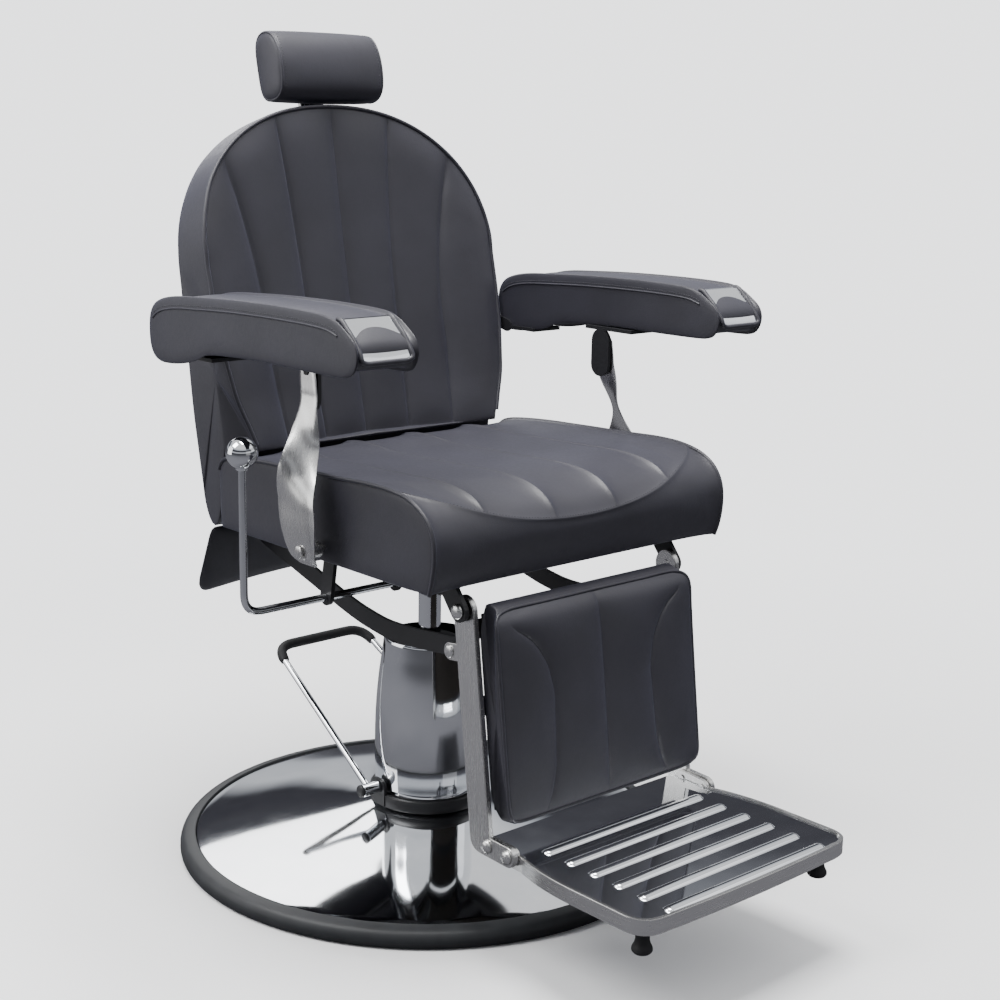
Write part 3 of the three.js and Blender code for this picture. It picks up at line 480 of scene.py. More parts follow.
def pipingOn(name, line, piece, radius=2.6, closed=False, lift=0.8):
    # Welt cord along a seam: the line is drawn onto the finished cover, then lifted by part of its radius.
    fitted = []
    for p in line:
        found, spot, normal, _ = piece.closest_point_on_mesh(Vector(p) * mm)
        fitted.append(spot / mm + normal * lift if found else Vector(p))
    for _ in range(3):
        count = len(fitted)
        eased = []
        for i, p in enumerate(fitted):
            if not closed and i in (0, count - 1):
                eased.append(p)
            else:
                eased.append(p * 0.5 + fitted[i - 1] * 0.25 + fitted[(i + 1) % count] * 0.25)
        fitted = eased
    return tubeAlong(name, fitted, radius, leatherette, sides=10, closed=closed)


def stitchRow(name, line, piece, pitch=4.5, length=3.0, radius=0.45, lift=0.25):
    # Lockstitch: short dashes of thread that lie on the cover along a line.
    total = lengthsOf(line)
    verts = []
    faces = []
    spot = 0.0
    while spot + length < total[-1]:
        ends = []
        for d in (spot, spot + length / 2, spot + length):
            p = pointAt(line, total, d)
            _, place, normal, _ = piece.closest_point_on_mesh(p * mm)
            rise = lift if d == spot + length / 2 else -radius * 0.6
            ends.append((place / mm + normal * rise, normal))
        along = (ends[2][0] - ends[0][0]).normalized()
        start = len(verts)
        for p, normal in ends:
            across = along.cross(normal).normalized()
            for k in range(5):
                turn = 2 * math.pi * k / 5
                verts.append((p + (across * math.cos(turn) + normal * math.sin(turn)) * radius) * mm)
        for near in (start, start + 5):
            for k in range(5):
                n = (k + 1) % 5
                faces.append((near + k, near + n, near + 5 + n, near + 5 + k))
        faces.append(tuple(start + k for k in range(5)))
        faces.append(tuple(start + 10 + k for k in range(5)))
        spot += pitch
    return makePiece(name, verts, faces, thread, 0)


def stationsFor(low, high, marks, step=11.0, support=2.0):
    # Even stations between marks, with one close on each side of every mark so that a seam stays crisp.
    stops = sorted({low, high, *marks})
    found = []
    for a, b in zip(stops, stops[1:]):
        inner = [a + support, b - support]
        count = max(1, round((inner[1] - inner[0]) / step))
        found += [a] + [inner[0] + (inner[1] - inner[0]) * i / count for i in range(count + 1)]
    return found + [high]


def seamDepth(x, seams, depth=3.6, crown=4.0, edge=None):
    # How far the cover stands out between two seams (positive) or is pulled in at one (negative).
    marks = sorted([*seams, *(edge or [])])
    for a, b in zip(marks, marks[1:]):
        if a <= x <= b:
            share = (x - a) / (b - a)
            arc = math.sqrt(max(0.0, 1 - (2 * share - 1) ** 2))
            return crown * arc - depth * math.exp(-((min(x - a, b - x)) / 1.2) ** 2)
    return 0.0


# Linkage points in the Y-Z plane, mm
backPivot = (143, 499)
legPivot = (-282, 440)
crank = (25, -58)
rearPin = (backPivot[0] + crank[0], backPivot[1] + crank[1])
frontPin = (legPivot[0] + crank[0], legPivot[1] + crank[1])
strapPivot = (-92, 490)
armRise = (21, 221)
strapTop = (strapPivot[0] + armRise[0], strapPivot[1] + armRise[1])

seatPad = {
    "halfWidth": 251, "bottom": 472, "hollow": 514, "hollowHalf": 226, "notch": (140, 172), "notchTop": 539,
    "seams": (-160, -53, 53, 160), "dish": 9, "crown": 2.6, "rearWall": 122, "frontWall": -279,
}
seatOver = [
    (142, 515), (143, 540), (141, 558), (130, 567), (98, 573), (40, 578), (-40, 582), (-120, 585),
    (-185, 588), (-232, 587), (-268, 580), (-292, 566), (-306, 546), (-309, 524), (-307, 500), (-300, 473),
]
crescent = {"front": -309, "frontZ": 542, "side": -236, "power": 0.7}


def makeSeat():
    half = seatPad["halfWidth"]
    over = curveThrough([(0, y, z) for y, z in seatOver], 8)
    lengths = lengthsOf(over)

    def reach(y, z):
        best = min(range(len(over)), key=lambda i: (over[i] - Vector((0, y, z))).length)
        return lengths[best]

    low = reach(crescent["front"], crescent["frontZ"])
    high = reach(crescent["side"], seatOver[9][1])

    def seamAt(x):
        return high + (low - high) * max(0.0, 1 - (x / half) ** 2) ** crescent["power"]

    def normalAt(a):
        d = pointAt(over, lengths, a + 2) - pointAt(over, lengths, a - 2)
        return Vector((0, d.z, -d.y)).normalized() * -1

    edges = (-half, half)
    stations = []
    rows = 34
    lower = 12
    seamLine = []
    hollowHalf = seatPad["hollowHalf"]
    marks = [*seatPad["seams"], -hollowHalf, hollowHalf, -206, 206, -174, -138, 138, 174]
    for x in stationsFor(-half, half, marks):
        c = seamAt(x)
        stops = [(c - 2.8) * i / rows for i in range(rows + 1)] + [c]
        stops += [c + 2.8 + (lengths[-1] - c - 2.8) * i / lower for i in range(lower + 1)]
        loop = []
        side = math.sqrt(max(0.0, 1 - (x / half) ** 2))
        for a in stops:
            p = pointAt(over, lengths, a)
            n = normalAt(a)
            seamed = seamDepth(x, seatPad["seams"], 3.2, seatPad["crown"], edges)
            plain = 7 * side - 3.2 * math.exp(-((half - abs(x)) / 2.2) ** 2)
            fade = smooth((c - a) / 16)
            rise = seamed * fade + plain * smooth((a - c) / 60)
            rise += 1.5 * side * (1 - fade) * smooth((c + 60 - a) / 60)
            rise -= 3.0 * math.exp(-((a - c) / 2.4) ** 2)
            rise *= smooth(a / 40)
            p = p + n * rise
            dish = seatPad["dish"] * (1 - (x / half) ** 2)
            p.z -= dish * smooth((p.z - 520) / 50) * smooth((90 - p.y) / 90)
            p.x = x
            loop.append(p)
            if a == c:
                seamLine.append(p.copy())
        inside = abs(x) < seatPad["hollowHalf"]
        bottom = seatPad["bottom"]
        top = seatPad["hollow"] if inside else bottom
        rearLow = bottom if abs(x) > 206 else seatPad["hollow"]
        if seatPad["notch"][0] - 3 < abs(x) < seatPad["notch"][1] + 3:
            rearLow = seatPad["notchTop"]
        front = seatPad["frontWall"]
        rear = seatPad["rearWall"]
        under = [(front - 16, bottom), (front - 1, bottom), (front, bottom + 2)]
        under += [(front, max(top - 2, bottom + 2))]
        under += [(front + 3, top)] + [(front + (rear - front) * f, top) for f in (0.25, 0.5, 0.75)]
        under += [(rear, max(top, rearLow - 1)), (rear + 2, rearLow), (rear + 10, rearLow), (140, rearLow)]
        loop += [Vector((x, y, z)) for y, z in under]
        if rearLow > loop[0].z:
            for p in loop[:8]:
                p.z = max(p.z, rearLow + 1)
        elif abs(x) > 206:
            loop[0].z = bottom + 4
        stations.append(loop)
    cushion = loopSolid("seatCushion", stations, leatherette, 5, 3.0)

    def held(p):
        top = p.z > 520 or p.y < -285
        if abs(p.x) > half - 1 or not top or p.y > 120:
            return 1.0
        a = reach(p.y, p.z)
        near = abs(a - seamAt(p.x)) < 6
        across = min(abs(p.x - s) for s in seatPad["seams"]) < 1.5 and a < seamAt(p.x)
        return 1.0 if near or across else 0.0

    puffed(cushion, 3.0, 2.4, held)
    subdivided(cushion)
    finishPiece(cushion, "seat", "upholstery", "seat_cushion")
    for s, name in ((-1, "Right"), (1, "Left")):
        edge = [Vector((s * half, p.y, p.z)) for p in evenly(over, 6)[6:]]
        welt = pipingOn("seatPiping" + name, edge, cushion, 2.7, lift=1.0)
        finishPiece(welt, "seat", "upholstery")
    row = stitchRow("seatCrescentStitch", evenly([p + Vector((0, 2.2, 2.2)) for p in seamLine], 5), cushion)
    finishPiece(row, "seat", "upholstery")
    return cushion


backPad = {
    "tilt": math.radians(13.8), "footY": 103, "footZ": 575, "half": 250, "height": 470, "arch": 209,
    "power": 2.2, "seams": (-196, -98, 0, 98, 196), "foot": 0, "crown": 2.6,
}
backWidth = [(-120, 238), (-40, 226), (0, 212), (40, 224), (73, 236), (140, 246), (200, 250), (480, 250)]
backDish = [(0, 40), (70, 38), (200, 33), (310, 27), (400, 20), (470, 16)]
backDepth = [(-80, 112), (60, 98), (150, 84), (250, 72), (480, 70)]
backSeamFoot = [(0, 0), (98, 79), (196, 156)]


def fromBack(x, v, s):
    c = math.cos(backPad["tilt"])
    k = math.sin(backPad["tilt"])
    return Vector((x, backPad["footY"] + v * c + s * k, backPad["footZ"] - v * k + s * c))


def toBack(y, z):
    c = math.cos(backPad["tilt"])
    k = math.sin(backPad["tilt"])
    dy = y - backPad["footY"]
    dz = z - backPad["footZ"]
    return dy * c - dz * k, dy * k + dz * c


def archTop(x, inset=0.0):
    half = backPad["half"] - inset
    share = max(0.0, 1 - (abs(x) / half) ** backPad["power"]) ** (1 / backPad["power"])
    return backPad["height"] - backPad["arch"] + (backPad["arch"] - inset) * share


def columnAt(top, s):
    # A seam stands nearly upright low down, then fans out towards the arch.
    size = abs(top)
    if size > 196:
        share = (size - 196) / 54
        x = abs(columnAt(196, s)) * (1 - share) + between(s, backWidth) * share
        if size < 250:
            x = size + (x - size) * smooth((archTop(size) - s) / 60)
    else:
        foot = between(size, backSeamFoot)
        climb = max(0.0, (s - 180) / max(archTop(size) - 180, 1)) ** 1.6
        x = (foot + (size - foot) * min(climb, 1.0)) * between(s, [(0, 0.94), (120, 1.0)])
    return math.copysign(x, top) if top else 0.0


def backStations(inset=0.0, marks=None):
    marks = backPad["seams"] if marks is None else marks
    half = backPad["half"] - inset
    found = {-half, half, *marks, *[m - 2 for m in marks], *[m + 2 for m in marks]}
    for i in range(41):
        turn = -math.pi / 2 + math.pi * i / 40
        x = math.copysign(abs(math.sin(turn)) ** (2 / backPad["power"]), math.sin(turn)) * half
        if all(abs(x - m) > 6 for m in marks) and half - abs(x) > 0.4:
            found.add(x)
    return sorted(found)


tongue = [(203, 505), (196, 482), (184, 464), (169, 464), (164, 481), (156, 505), (152, 532), (151, 562),
          (149, 575)]


def makeBack():
    seams = backPad["seams"]
    stations = []
    front = 40
    for top in backStations():
        peak = archTop(top)
        stops = [i / front for i in range(front)]
        stops = [backPad["foot"] + (peak - 3 - backPad["foot"]) * t for t in stops] + [peak - 3, peak]
        loop = []
        for s in stops:
            x = columnAt(top, s)
            wide = between(s, backWidth)
            v = between(s, backDish) * max(0.0, 1 - (x / wide) ** 2)
            rise = seamDepth(top, seams, 3.4, backPad["crown"], (-250, 250))
            rise *= smooth((peak - s) / 26) * smooth((s + 20) / 40)
            v -= rise
            v += 2.0 * math.exp(-((s - backPad["foot"]) / 10) ** 2)
            loop.append(fromBack(x, v, s))
        edge = stops[-1]
        dishTop = between(edge, backDish) * max(0.0, 1 - (top / 250) ** 2)
        for i in range(1, 6):
            f = i / 6
            v = dishTop * (1 - f) + between(edge, backDepth) * f
            loop.append(fromBack(top, v, edge + 2.2 * math.sin(math.pi * f) * (1 if abs(top) < 249 else 0)))
        rear = 16
        for i in range(rear + 1):
            s = edge - 1 + (-40 - edge + 1) * i / rear
            wide = between(s, [(-60, 240), (100, 247), (200, 250)]) / 250
            loop.append(fromBack(top * wide, between(s, backDepth), s))
        for y, z in tongue:
            v, s = toBack(y, z)
            loop.append(fromBack(top * 238 / 250, v, s))
        for f in (0.12, 0.45, 0.8):
            y = 149 + (108 - 149) * f
            v, s = toBack(y, 577)
            wide = 238 + (between(s, backWidth) - 238) * f
            loop.append(fromBack(top * wide / 250, v, s))
        stations.append(loop)
    cushion = loopSolid("backCushion", stations, leatherette, 5, 2.0)

    def held(p):
        v, s = toBack(p.y, p.z)
        wide = between(s, backWidth)
        face = v < between(s, backDish) + 6 and s > 4
        if not face or abs(p.x) > wide - 1.5 or s > archTop(p.x) - 4:
            return 1.0
        for m in seams:
            if abs(p.x - columnAt(m, s)) < 1.2:
                return 1.0
        return 0.0

    puffed(cushion, 3.0, 2.2, held)
    subdivided(cushion)
    finishPiece(cushion, "back", "upholstery", "back_cushion")
    outline = [fromBack(columnAt(-250, s), 0, s) for s in range(10, 262, 7)]
    outline += [fromBack(x, between(archTop(x), backDish) * max(0, 1 - (x / 250) ** 2), archTop(x))
                for x in backStations(0, (0,))]
    outline += [fromBack(columnAt(250, s), 0, s) for s in range(261, 9, -7)]
    welt = pipingOn("backPiping", evenly(outline, 6), cushion, 2.8, lift=1.0)
    finishPiece(welt, "back", "upholstery")
    return cushion


def makeBackPanel():
    inset = 13
    stations = []
    for top in backStations(inset, (0,)):
        peak = archTop(top, inset)
        shares = [i / 16 for i in range(17)]
        outer = []
        inner = []
        for t in shares:
            s = -62 + (peak + 62) * t
            wide = between(s, [(-60, 238), (100, 247), (200, 250)]) / 250
            x = top * wide
            edge = min(1.0, 1 - (abs(top) / (250 - inset)) ** 4)
            puff = 7.5 * edge ** 0.5 * math.sin(math.pi * min(max(t, 0.02), 0.98)) ** 0.35
            base = between(s, backDepth) + 0.6
            inner.append(fromBack(x, base, s))
            outer.append(fromBack(x, base + 1.2 + puff, s))
        stations.append(inner + outer[::-1])
    panel = loopSolid("backRearPanel", stations, leatherette, 2, 0.0)
    subdivided(panel)
    finishPiece(panel, "back", "upholstery", "back_panel")
    rim = []
    for x in backStations(inset, (0,)):
        s = archTop(x, inset)
        wide = between(s, [(-60, 238), (200, 250)]) / 250
        rim.append(fromBack(x * wide, between(s, backDepth) + 1.5, s))
    low = []
    for s in range(-58, 258, 8):
        x = -237 * between(s, [(-60, 238), (100, 247), (200, 250)]) / 250
        low.append(fromBack(x, between(s, backDepth) + 1.5, s))
    high = [Vector((-p.x, p.y, p.z)) for p in reversed(low)]
    welt = pipingOn("rearPanelPiping", evenly(low + rim + high, 7), panel, 2.4, lift=0.4)
    finishPiece(welt, "back", "upholstery")


tailPad = {
    "topHalf": 234, "bottomHalf": 240, "length": 108, "lean": math.radians(18), "thickness": 9,
    "y": 186.5, "z": 458,
}


def makeTail():
    lean = tailPad["lean"]
    stations = []
    for i in range(49):
        u = -1 + 2 * i / 48
        foot = -tailPad["length"] + 17 * (1 - u * u)
        corner = max(0.0, abs(u) - 0.94)
        foot += 26 * corner / 0.06 * corner / 0.06 * 0.5
        front = []
        rear = []
        for k in range(11):
            t = k / 10
            down = foot * t
            wide = tailPad["topHalf"] + (tailPad["bottomHalf"] - tailPad["topHalf"]) * t
            x = u * wide
            eased = math.sqrt(max(0.0, 1 - max(abs(u) ** 12, (2 * t - 1) ** 12)))
            puff = 1.2 + 3.0 * eased
            for side, rows in ((-1, front), (1, rear)):
                off = tailPad["thickness"] / 2 + side * puff
                y = tailPad["y"] + off * math.cos(lean) - down * math.sin(lean)
                z = tailPad["z"] + off * math.sin(lean) + down * math.cos(lean)
                rows.append(Vector((x, y, z)))
        stations.append(front + rear[::-1])
    flap = loopSolid("tailFlap", stations, leatherette, 1, 0.0)
    subdivided(flap)
    finishPiece(flap, "back", "upholstery", "tail_panel")
    hem = []
    for i in range(49):
        u = -0.97 + 1.94 * i / 48
        down = -tailPad["length"] + 17 * (1 - u * u) + 9
        wide = tailPad["topHalf"] + (tailPad["bottomHalf"] - tailPad["topHalf"]) * 0.95
        hem.append(Vector((u * wide, tailPad["y"] + 9 * math.cos(lean) - down * math.sin(lean) + 4,
                           tailPad["z"] + 9 * math.sin(lean) + down * math.cos(lean))))
    row = stitchRow("tailHemStitch", evenly(hem, 6), flap)
    finishPiece(row, "back", "upholstery")


headPad = {"half": 87, "low": 478, "high": 575, "front": -3, "rear": 52}


def makeHeadrest():
    low = headPad["low"]
    high = headPad["high"]
    profile = [
        (3, low + 10), (-2, low + 30), (-3, low + 52), (1, low + 74), (9, low + 89), (22, high - 1),
        (36, high), (47, high - 5), (52, high - 18), (53, low + 50), (52, low + 14), (45, low + 4),
        (30, low + 1), (14, low + 2),
    ]
    ring = evenly(curveThrough([(0, v, s) for v, s in profile], 8, closed=True), 6.5)[:-1]
    middle = sum(ring, Vector()) / len(ring)
    half = headPad["half"]
    stations = []
    even = [-half + 8 + (half * 2 - 16) * i / 14 for i in range(15)]
    for x in [-half, -half + 2.5, *even, half - 2.5, half]:
        swell = 1 + 0.035 * math.sqrt(max(0.0, 1 - (x / half) ** 2))
        swell -= 0.035 * math.exp(-((half - abs(x)) / 2) ** 2)
        stations.append([fromBack(x, *(middle + (p - middle) * swell).yz) for p in ring])
    pad = loopSolid("headCushion", stations, leatherette, 4, 4.0)

    def held(p):
        v = toBack(p.y, p.z)[0]
        return 1.0 if v > 48 or abs(abs(p.x) - half) < 0.6 else 0.0

    puffed(pad, 4.0, 5.0, held)
    subdivided(pad)
    finishPiece(pad, "headrest", "upholstery", "headrest_pad")
    for side, name in ((-1, "Right"), (1, "Left")):
        line = [fromBack(side * half, p.y, p.z) for p in ring]
        welt = pipingOn("headPiping" + name, line, pad, 2.0, closed=True, lift=0.4)
        finishPiece(welt, "headrest", "upholstery")
        front = ring[:len(ring) * 6 // 10]
        inner = [fromBack(side * (half - 6), *(middle + (p - middle) * 1.03).yz) for p in front]
        row = stitchRow("headStitch" + name, inner, pad, 4.5, 3.0)
        finishPiece(row, "headrest", "upholstery")


armPad = {"inner": 257, "outer": 345, "edge": 8}
armProfile = [
    (-281, 760), (-275, 744), (-258, 740), (-180, 739), (-80, 739), (20, 733), (58, 720), (100, 713),
    (134, 713), (147, 724), (150, 745), (147, 765), (132, 778), (96, 786), (40, 790), (-40, 794),
    (-140, 796), (-215, 795), (-243, 791), (-263, 780), (-277, 770),
]


def insetLoop(loop, amount):
    count = len(loop)
    eased = []
    for i, p in enumerate(loop):
        d = (loop[(i + 1) % count] - loop[i - 1]).normalized()
        eased.append(p + Vector((0, -d.z, d.y)) * -amount)
    return eased


def makeArm(side, name):
    ring = evenly(curveThrough([(0, y, z) for y, z in armProfile], 6, closed=True), 7.0)[:-1]
    inner = armPad["inner"]
    outer = armPad["outer"]
    edge = armPad["edge"]
    stations = []
    widths = [0, 1.2, 3.5, edge] + [edge + (outer - inner - 2 * edge) * i / 9 for i in range(1, 10)]
    widths += [outer - inner - 3.5, outer - inner - 1.2, outer - inner]
    for w in widths:
        near = min(w, outer - inner - w)
        ease = edge - math.sqrt(max(0.0, edge ** 2 - max(0.0, edge - near) ** 2))
        loop = insetLoop(ring, ease)
        share = w / (outer - inner) * 2 - 1
        lift = 3.0 * (1 - share ** 2)
        x = side * (inner + w)
        stations.append([Vector((x, p.y, p.z + lift * smooth((p.z - 760) / 25))) for p in loop])
    if side < 0:
        stations.reverse()
    pad = loopSolid("armCushion" + name, stations, leatherette, 4, 2.0)

    def held(p):
        flank = abs(p.x) < inner + 2 or abs(p.x) > outer - 2
        return 1.0 if flank or p.z < 760 or p.y < -236 else 0.0

    puffed(pad, 3.0, 3.0, held)
    subdivided(pad)
    finishPiece(pad, "arm_" + name.lower(), "upholstery", "arm_pad_" + name.lower())
    top = [p for p in ring if p.z > 758 and -250 < p.y < 146]
    top = sorted(top, key=lambda p: p.y)
    for label, x in (("Outer", outer - 1), ("Inner", inner + 1)):
        line = [Vector((side * x, p.y, p.z - 9)) for p in top]
        welt = pipingOn("armSeam" + name + label, line, pad, 1.3, lift=0.1)
        finishPiece(welt, "arm_" + name.lower(), "upholstery")
        above = [p + Vector((0, 0, 4)) for p in line]
        row = stitchRow("armStitch" + name + label, above, pad, 4.5, 3.0)
        finishPiece(row, "arm_" + name.lower(), "upholstery")
    makeArmCap(side, name)


def makeArmCap(side, name):
    # Folded plate over the front end: a short flat, a crisp fold, then a slope with a shallow hollow.
    line = [(-240, 797.2), (-245, 796.8), (-247.5, 795.6), (-256, 788), (-266, 779.5), (-275, 769),
            (-281.5, 760.5), (-284.5, 754)]
    left = 268
    right = 336
    verts = []
    faces = []
    columns = 13
    for layer in (0, -2.0):
        for y, z in line:
            for c in range(columns):
                share = c / (columns - 1)
                hollow = 0.6 * (1 - (2 * share - 1) ** 2) * smooth((-246 - y) / 12) * smooth((z - 755) / 10)
                x = left + (right - left) * share
                ahead = y + layer * -0.7 + hollow * 0.7
                verts.append(Vector((side * x, ahead, z + layer - hollow * 0.7)) * mm)
    rows = len(line)
    size = rows * columns
    for layer in range(2):
        for r in range(rows - 1):
            for c in range(columns - 1):
                a = layer * size + r * columns + c
                faces.append((a, a + 1, a + columns + 1, a + columns))
    rim = list(range(columns))
    rim += [r * columns + columns - 1 for r in range(1, rows)]
    rim += [(rows - 1) * columns + c for c in range(columns - 2, -1, -1)]
    rim += [r * columns for r in range(rows - 2, 0, -1)]
    for a, b in zip(rim, rim[1:] + rim[:1]):
        faces.append((a, b, b + size, a + size))
    cap = makePiece("armEndPlate" + name, verts, faces, darkChrome, 20)
    finishPiece(cap, "arm_" + name.lower(), "chrome_plate", "arm_cap_" + name.lower())
    edge = [Vector((side * (left - 2), y, z)) for y, z in line]
    edge += [Vector((side * x, line[-1][0], line[-1][1] - 3)) for x in range(left + 6, right - 4, 8)]
    edge += [Vector((side * (right + 2), y, z)) for y, z in reversed(line)]
    welt = tubeAlong("armEndPiping" + name, evenly(curveThrough(edge, 3), 4), 3.2, leatherette, 10)
    finishPiece(welt, "arm_" + name.lower(), "upholstery")


legPad = {
    "half": 171, "front": -50, "rear": -14, "low": -267, "high": 5, "seam": 86, "lean": math.radians(7.4),
}


def fromRail(x, u, w):
    # u across and w up along the rails, from the leg pivot.
    c = math.cos(legPad["lean"])
    k = math.sin(legPad["lean"])
    return Vector((x, legPivot[0] + u * c + w * k, legPivot[1] - u * k + w * c))


def toRail(p):
    c = math.cos(legPad["lean"])
    k = math.sin(legPad["lean"])
    dy = p.y - legPivot[0]
    dz = p.z - legPivot[1]
    return dy * c - dz * k, dy * k + dz * c


def legColumn(top, w):
    # The side seams run in from the upper corners, down, and a little out again at the foot.
    size = abs(top)
    half = legPad["half"] - legInset(w)
    seam = [(-267, 112), (-240, 98), (-210, 90), (-115, 85), (-78, 94), (-52, 110), (-34, 130), (-24, 152)]
    bend = min(between(w, seam), half - 6)
    if size <= legPad["seam"]:
        x = bend * size / legPad["seam"]
    else:
        x = bend + (half - bend) * (size - legPad["seam"]) / (legPad["half"] - legPad["seam"])
    return math.copysign(x, top) if top else 0.0


def legInset(w):
    # Round corners of the front seen square on.
    radius = 20
    near = min(w - legPad["low"], legPad["high"] - w)
    if near >= radius:
        return 0.0
    return radius - math.sqrt(max(0.0, radius ** 2 - (radius - near) ** 2))


def makeLegPad():
    half = legPad["half"]
    seams = (-legPad["seam"], 0, legPad["seam"])
    low = legPad["low"]
    high = legPad["high"]
    front = legPad["front"]
    rear = legPad["rear"]
    stations = []
    rows = [low + 1.5, low + 4, low + 9]
    rows += [low + 16 + (high - low - 40) * i / 26 for i in range(27)] + [high - 15]
    for top in stationsFor(-half, half, seams, 9):
        loop = []
        for w in rows:
            rise = seamDepth(top, seams, 2.6, 2.0, (-half, half)) * smooth((w - low) / 30)
            if abs(top) >= legPad["seam"] - 6:
                rise *= 1 - smooth((w + 36) / 12)
            crown = 5 * (1 - (top / half) ** 2) * (1 - ((w - low) / (high - low) * 2 - 1) ** 4)
            ease = 7 * smooth((w - high + 30) / 26) ** 2 + 5 * smooth((low + 14 - w) / 14) ** 2
            loop.append(fromRail(legColumn(top, w), front + 4 - crown - rise + ease, w))
        wide = half - legInset(high - 2)
        over = [(front + 15, high - 6), (front + 22, high - 2), (front + 29, high), (rear - 2, high)]
        for u, w in [*over, (rear, high - 1)]:
            loop.append(fromRail(top * wide / half, u, w))
        for i in range(1, 12):
            w = high - 2 + (low - high + 4) * i / 11
            loop.append(fromRail(top * (half - legInset(w)) / half, rear, w))
        wide = half - legInset(low + 1)
        for u in (rear - 2, rear - 12, rear - 24):
            loop.append(fromRail(top * wide / half, u, low))
        stations.append(loop)
    pad = loopSolid("legCushion", stations, leatherette, 4, 2.5)

    def held(p):
        u, w = toRail(p)
        edge = abs(p.x) > half - 12 or u > rear - 8 or w < low + 8 or w > high - 12
        onSeam = min(abs(abs(p.x) - legColumn(legPad["seam"], w)), abs(p.x)) < 1.2 and w < -20
        return 1.0 if edge or onSeam else 0.0

    puffed(pad, 3.0, 2.5, held)
    subdivided(pad)
    finishPiece(pad, "legrest", "upholstery", "legrest_pad")
    levels = [low + 3 + (high - low - 6) * i / 44 for i in range(45)]
    up = [fromRail(half - legInset(w), front + 4, w) for w in levels]
    over = [fromRail(x, front + 8, high - 1) for x in range(146, -147, -6)]
    down = [fromRail(-(half - legInset(w)), front + 4, w) for w in reversed(levels)]
    under = [fromRail(x, front + 6, low + 1) for x in range(-146, 147, 6)]
    welt = pipingOn("legPiping", evenly(up + over + down + under, 6), pad, 2.0, closed=True, lift=0.5)
    finishPiece(welt, "legrest", "upholstery")


makeSeat()
print("seat made")
makeBack()
makeBackPanel()
makeTail()
print("back made")
makeHeadrest()
for side, name in ((-1, "Right"), (1, "Left")):
    makeArm(side, name)
makeLegPad()
print("pads made")


def turnedAlongX(name, spot, profile, side, material, segments=40):
    # A profile of (radius, distance out from the middle of the chair) turned about a level pin.
    piece = lathe(name, profile, material, segments)
    for v in piece.data.vertices:
        r1, r2, out = v.co / mm
        v.co = Vector((side * out, spot[0] + side * r1, spot[1] + r2)) * mm
    return piece


def domeBolt(name, spot, radius, seatAt, depth, side, material):
    # Cup-head bolt: a short skirt, then a dome.
    dome = [(radius * math.cos(t), seatAt + 1.2 + (depth - 1.2) * math.sin(t)) for t in
            [math.pi / 2 * i / 8 for i in range(9)]]
    profile = [(0, seatAt), (radius - 0.6, seatAt), (radius, seatAt + 0.5), *dome]
    return turnedAlongX(name, spot, profile, side, material)


def roundedOutline(line, radius, end=10):
    # Both sides of a bar of one width with round ends, along a chain of (a, b) points.
    pts = [Vector((a, b)) for a, b in line]
    rows = []
    for i, p in enumerate(pts):
        d = (pts[min(i + 1, len(pts) - 1)] - pts[max(i - 1, 0)]).normalized()
        rows.append((p, Vector((-d.y, d.x)), d))
    left = [p + n * radius for p, n, _ in rows]
    right = [p - n * radius for p, n, _ in reversed(rows)]
    last, n1, d1 = rows[-1]
    first, n0, d0 = rows[0]
    turns = [math.pi * i / end for i in range(1, end)]
    nose = [last + (n1 * math.cos(t) + d1 * math.sin(t)) * radius for t in turns]
    heel = [first - (n0 * math.cos(t) + d0 * math.sin(t)) * radius for t in turns]
    return [(p.x, p.y) for p in [*left, *nose, *right, *heel]]


def barAlongX(name, outline, x0, x1, material, bevel=0.8):
    loop = [(x0, a, b) for a, b in outline]
    return plate(name, loop, abs(x1 - x0), (math.copysign(1, x1 - x0), 0, 0), material, bevel)


baseSize = {"radius": 352, "inner": 330}
columnSize = {"foot": 92, "top": 306, "collar": 70}


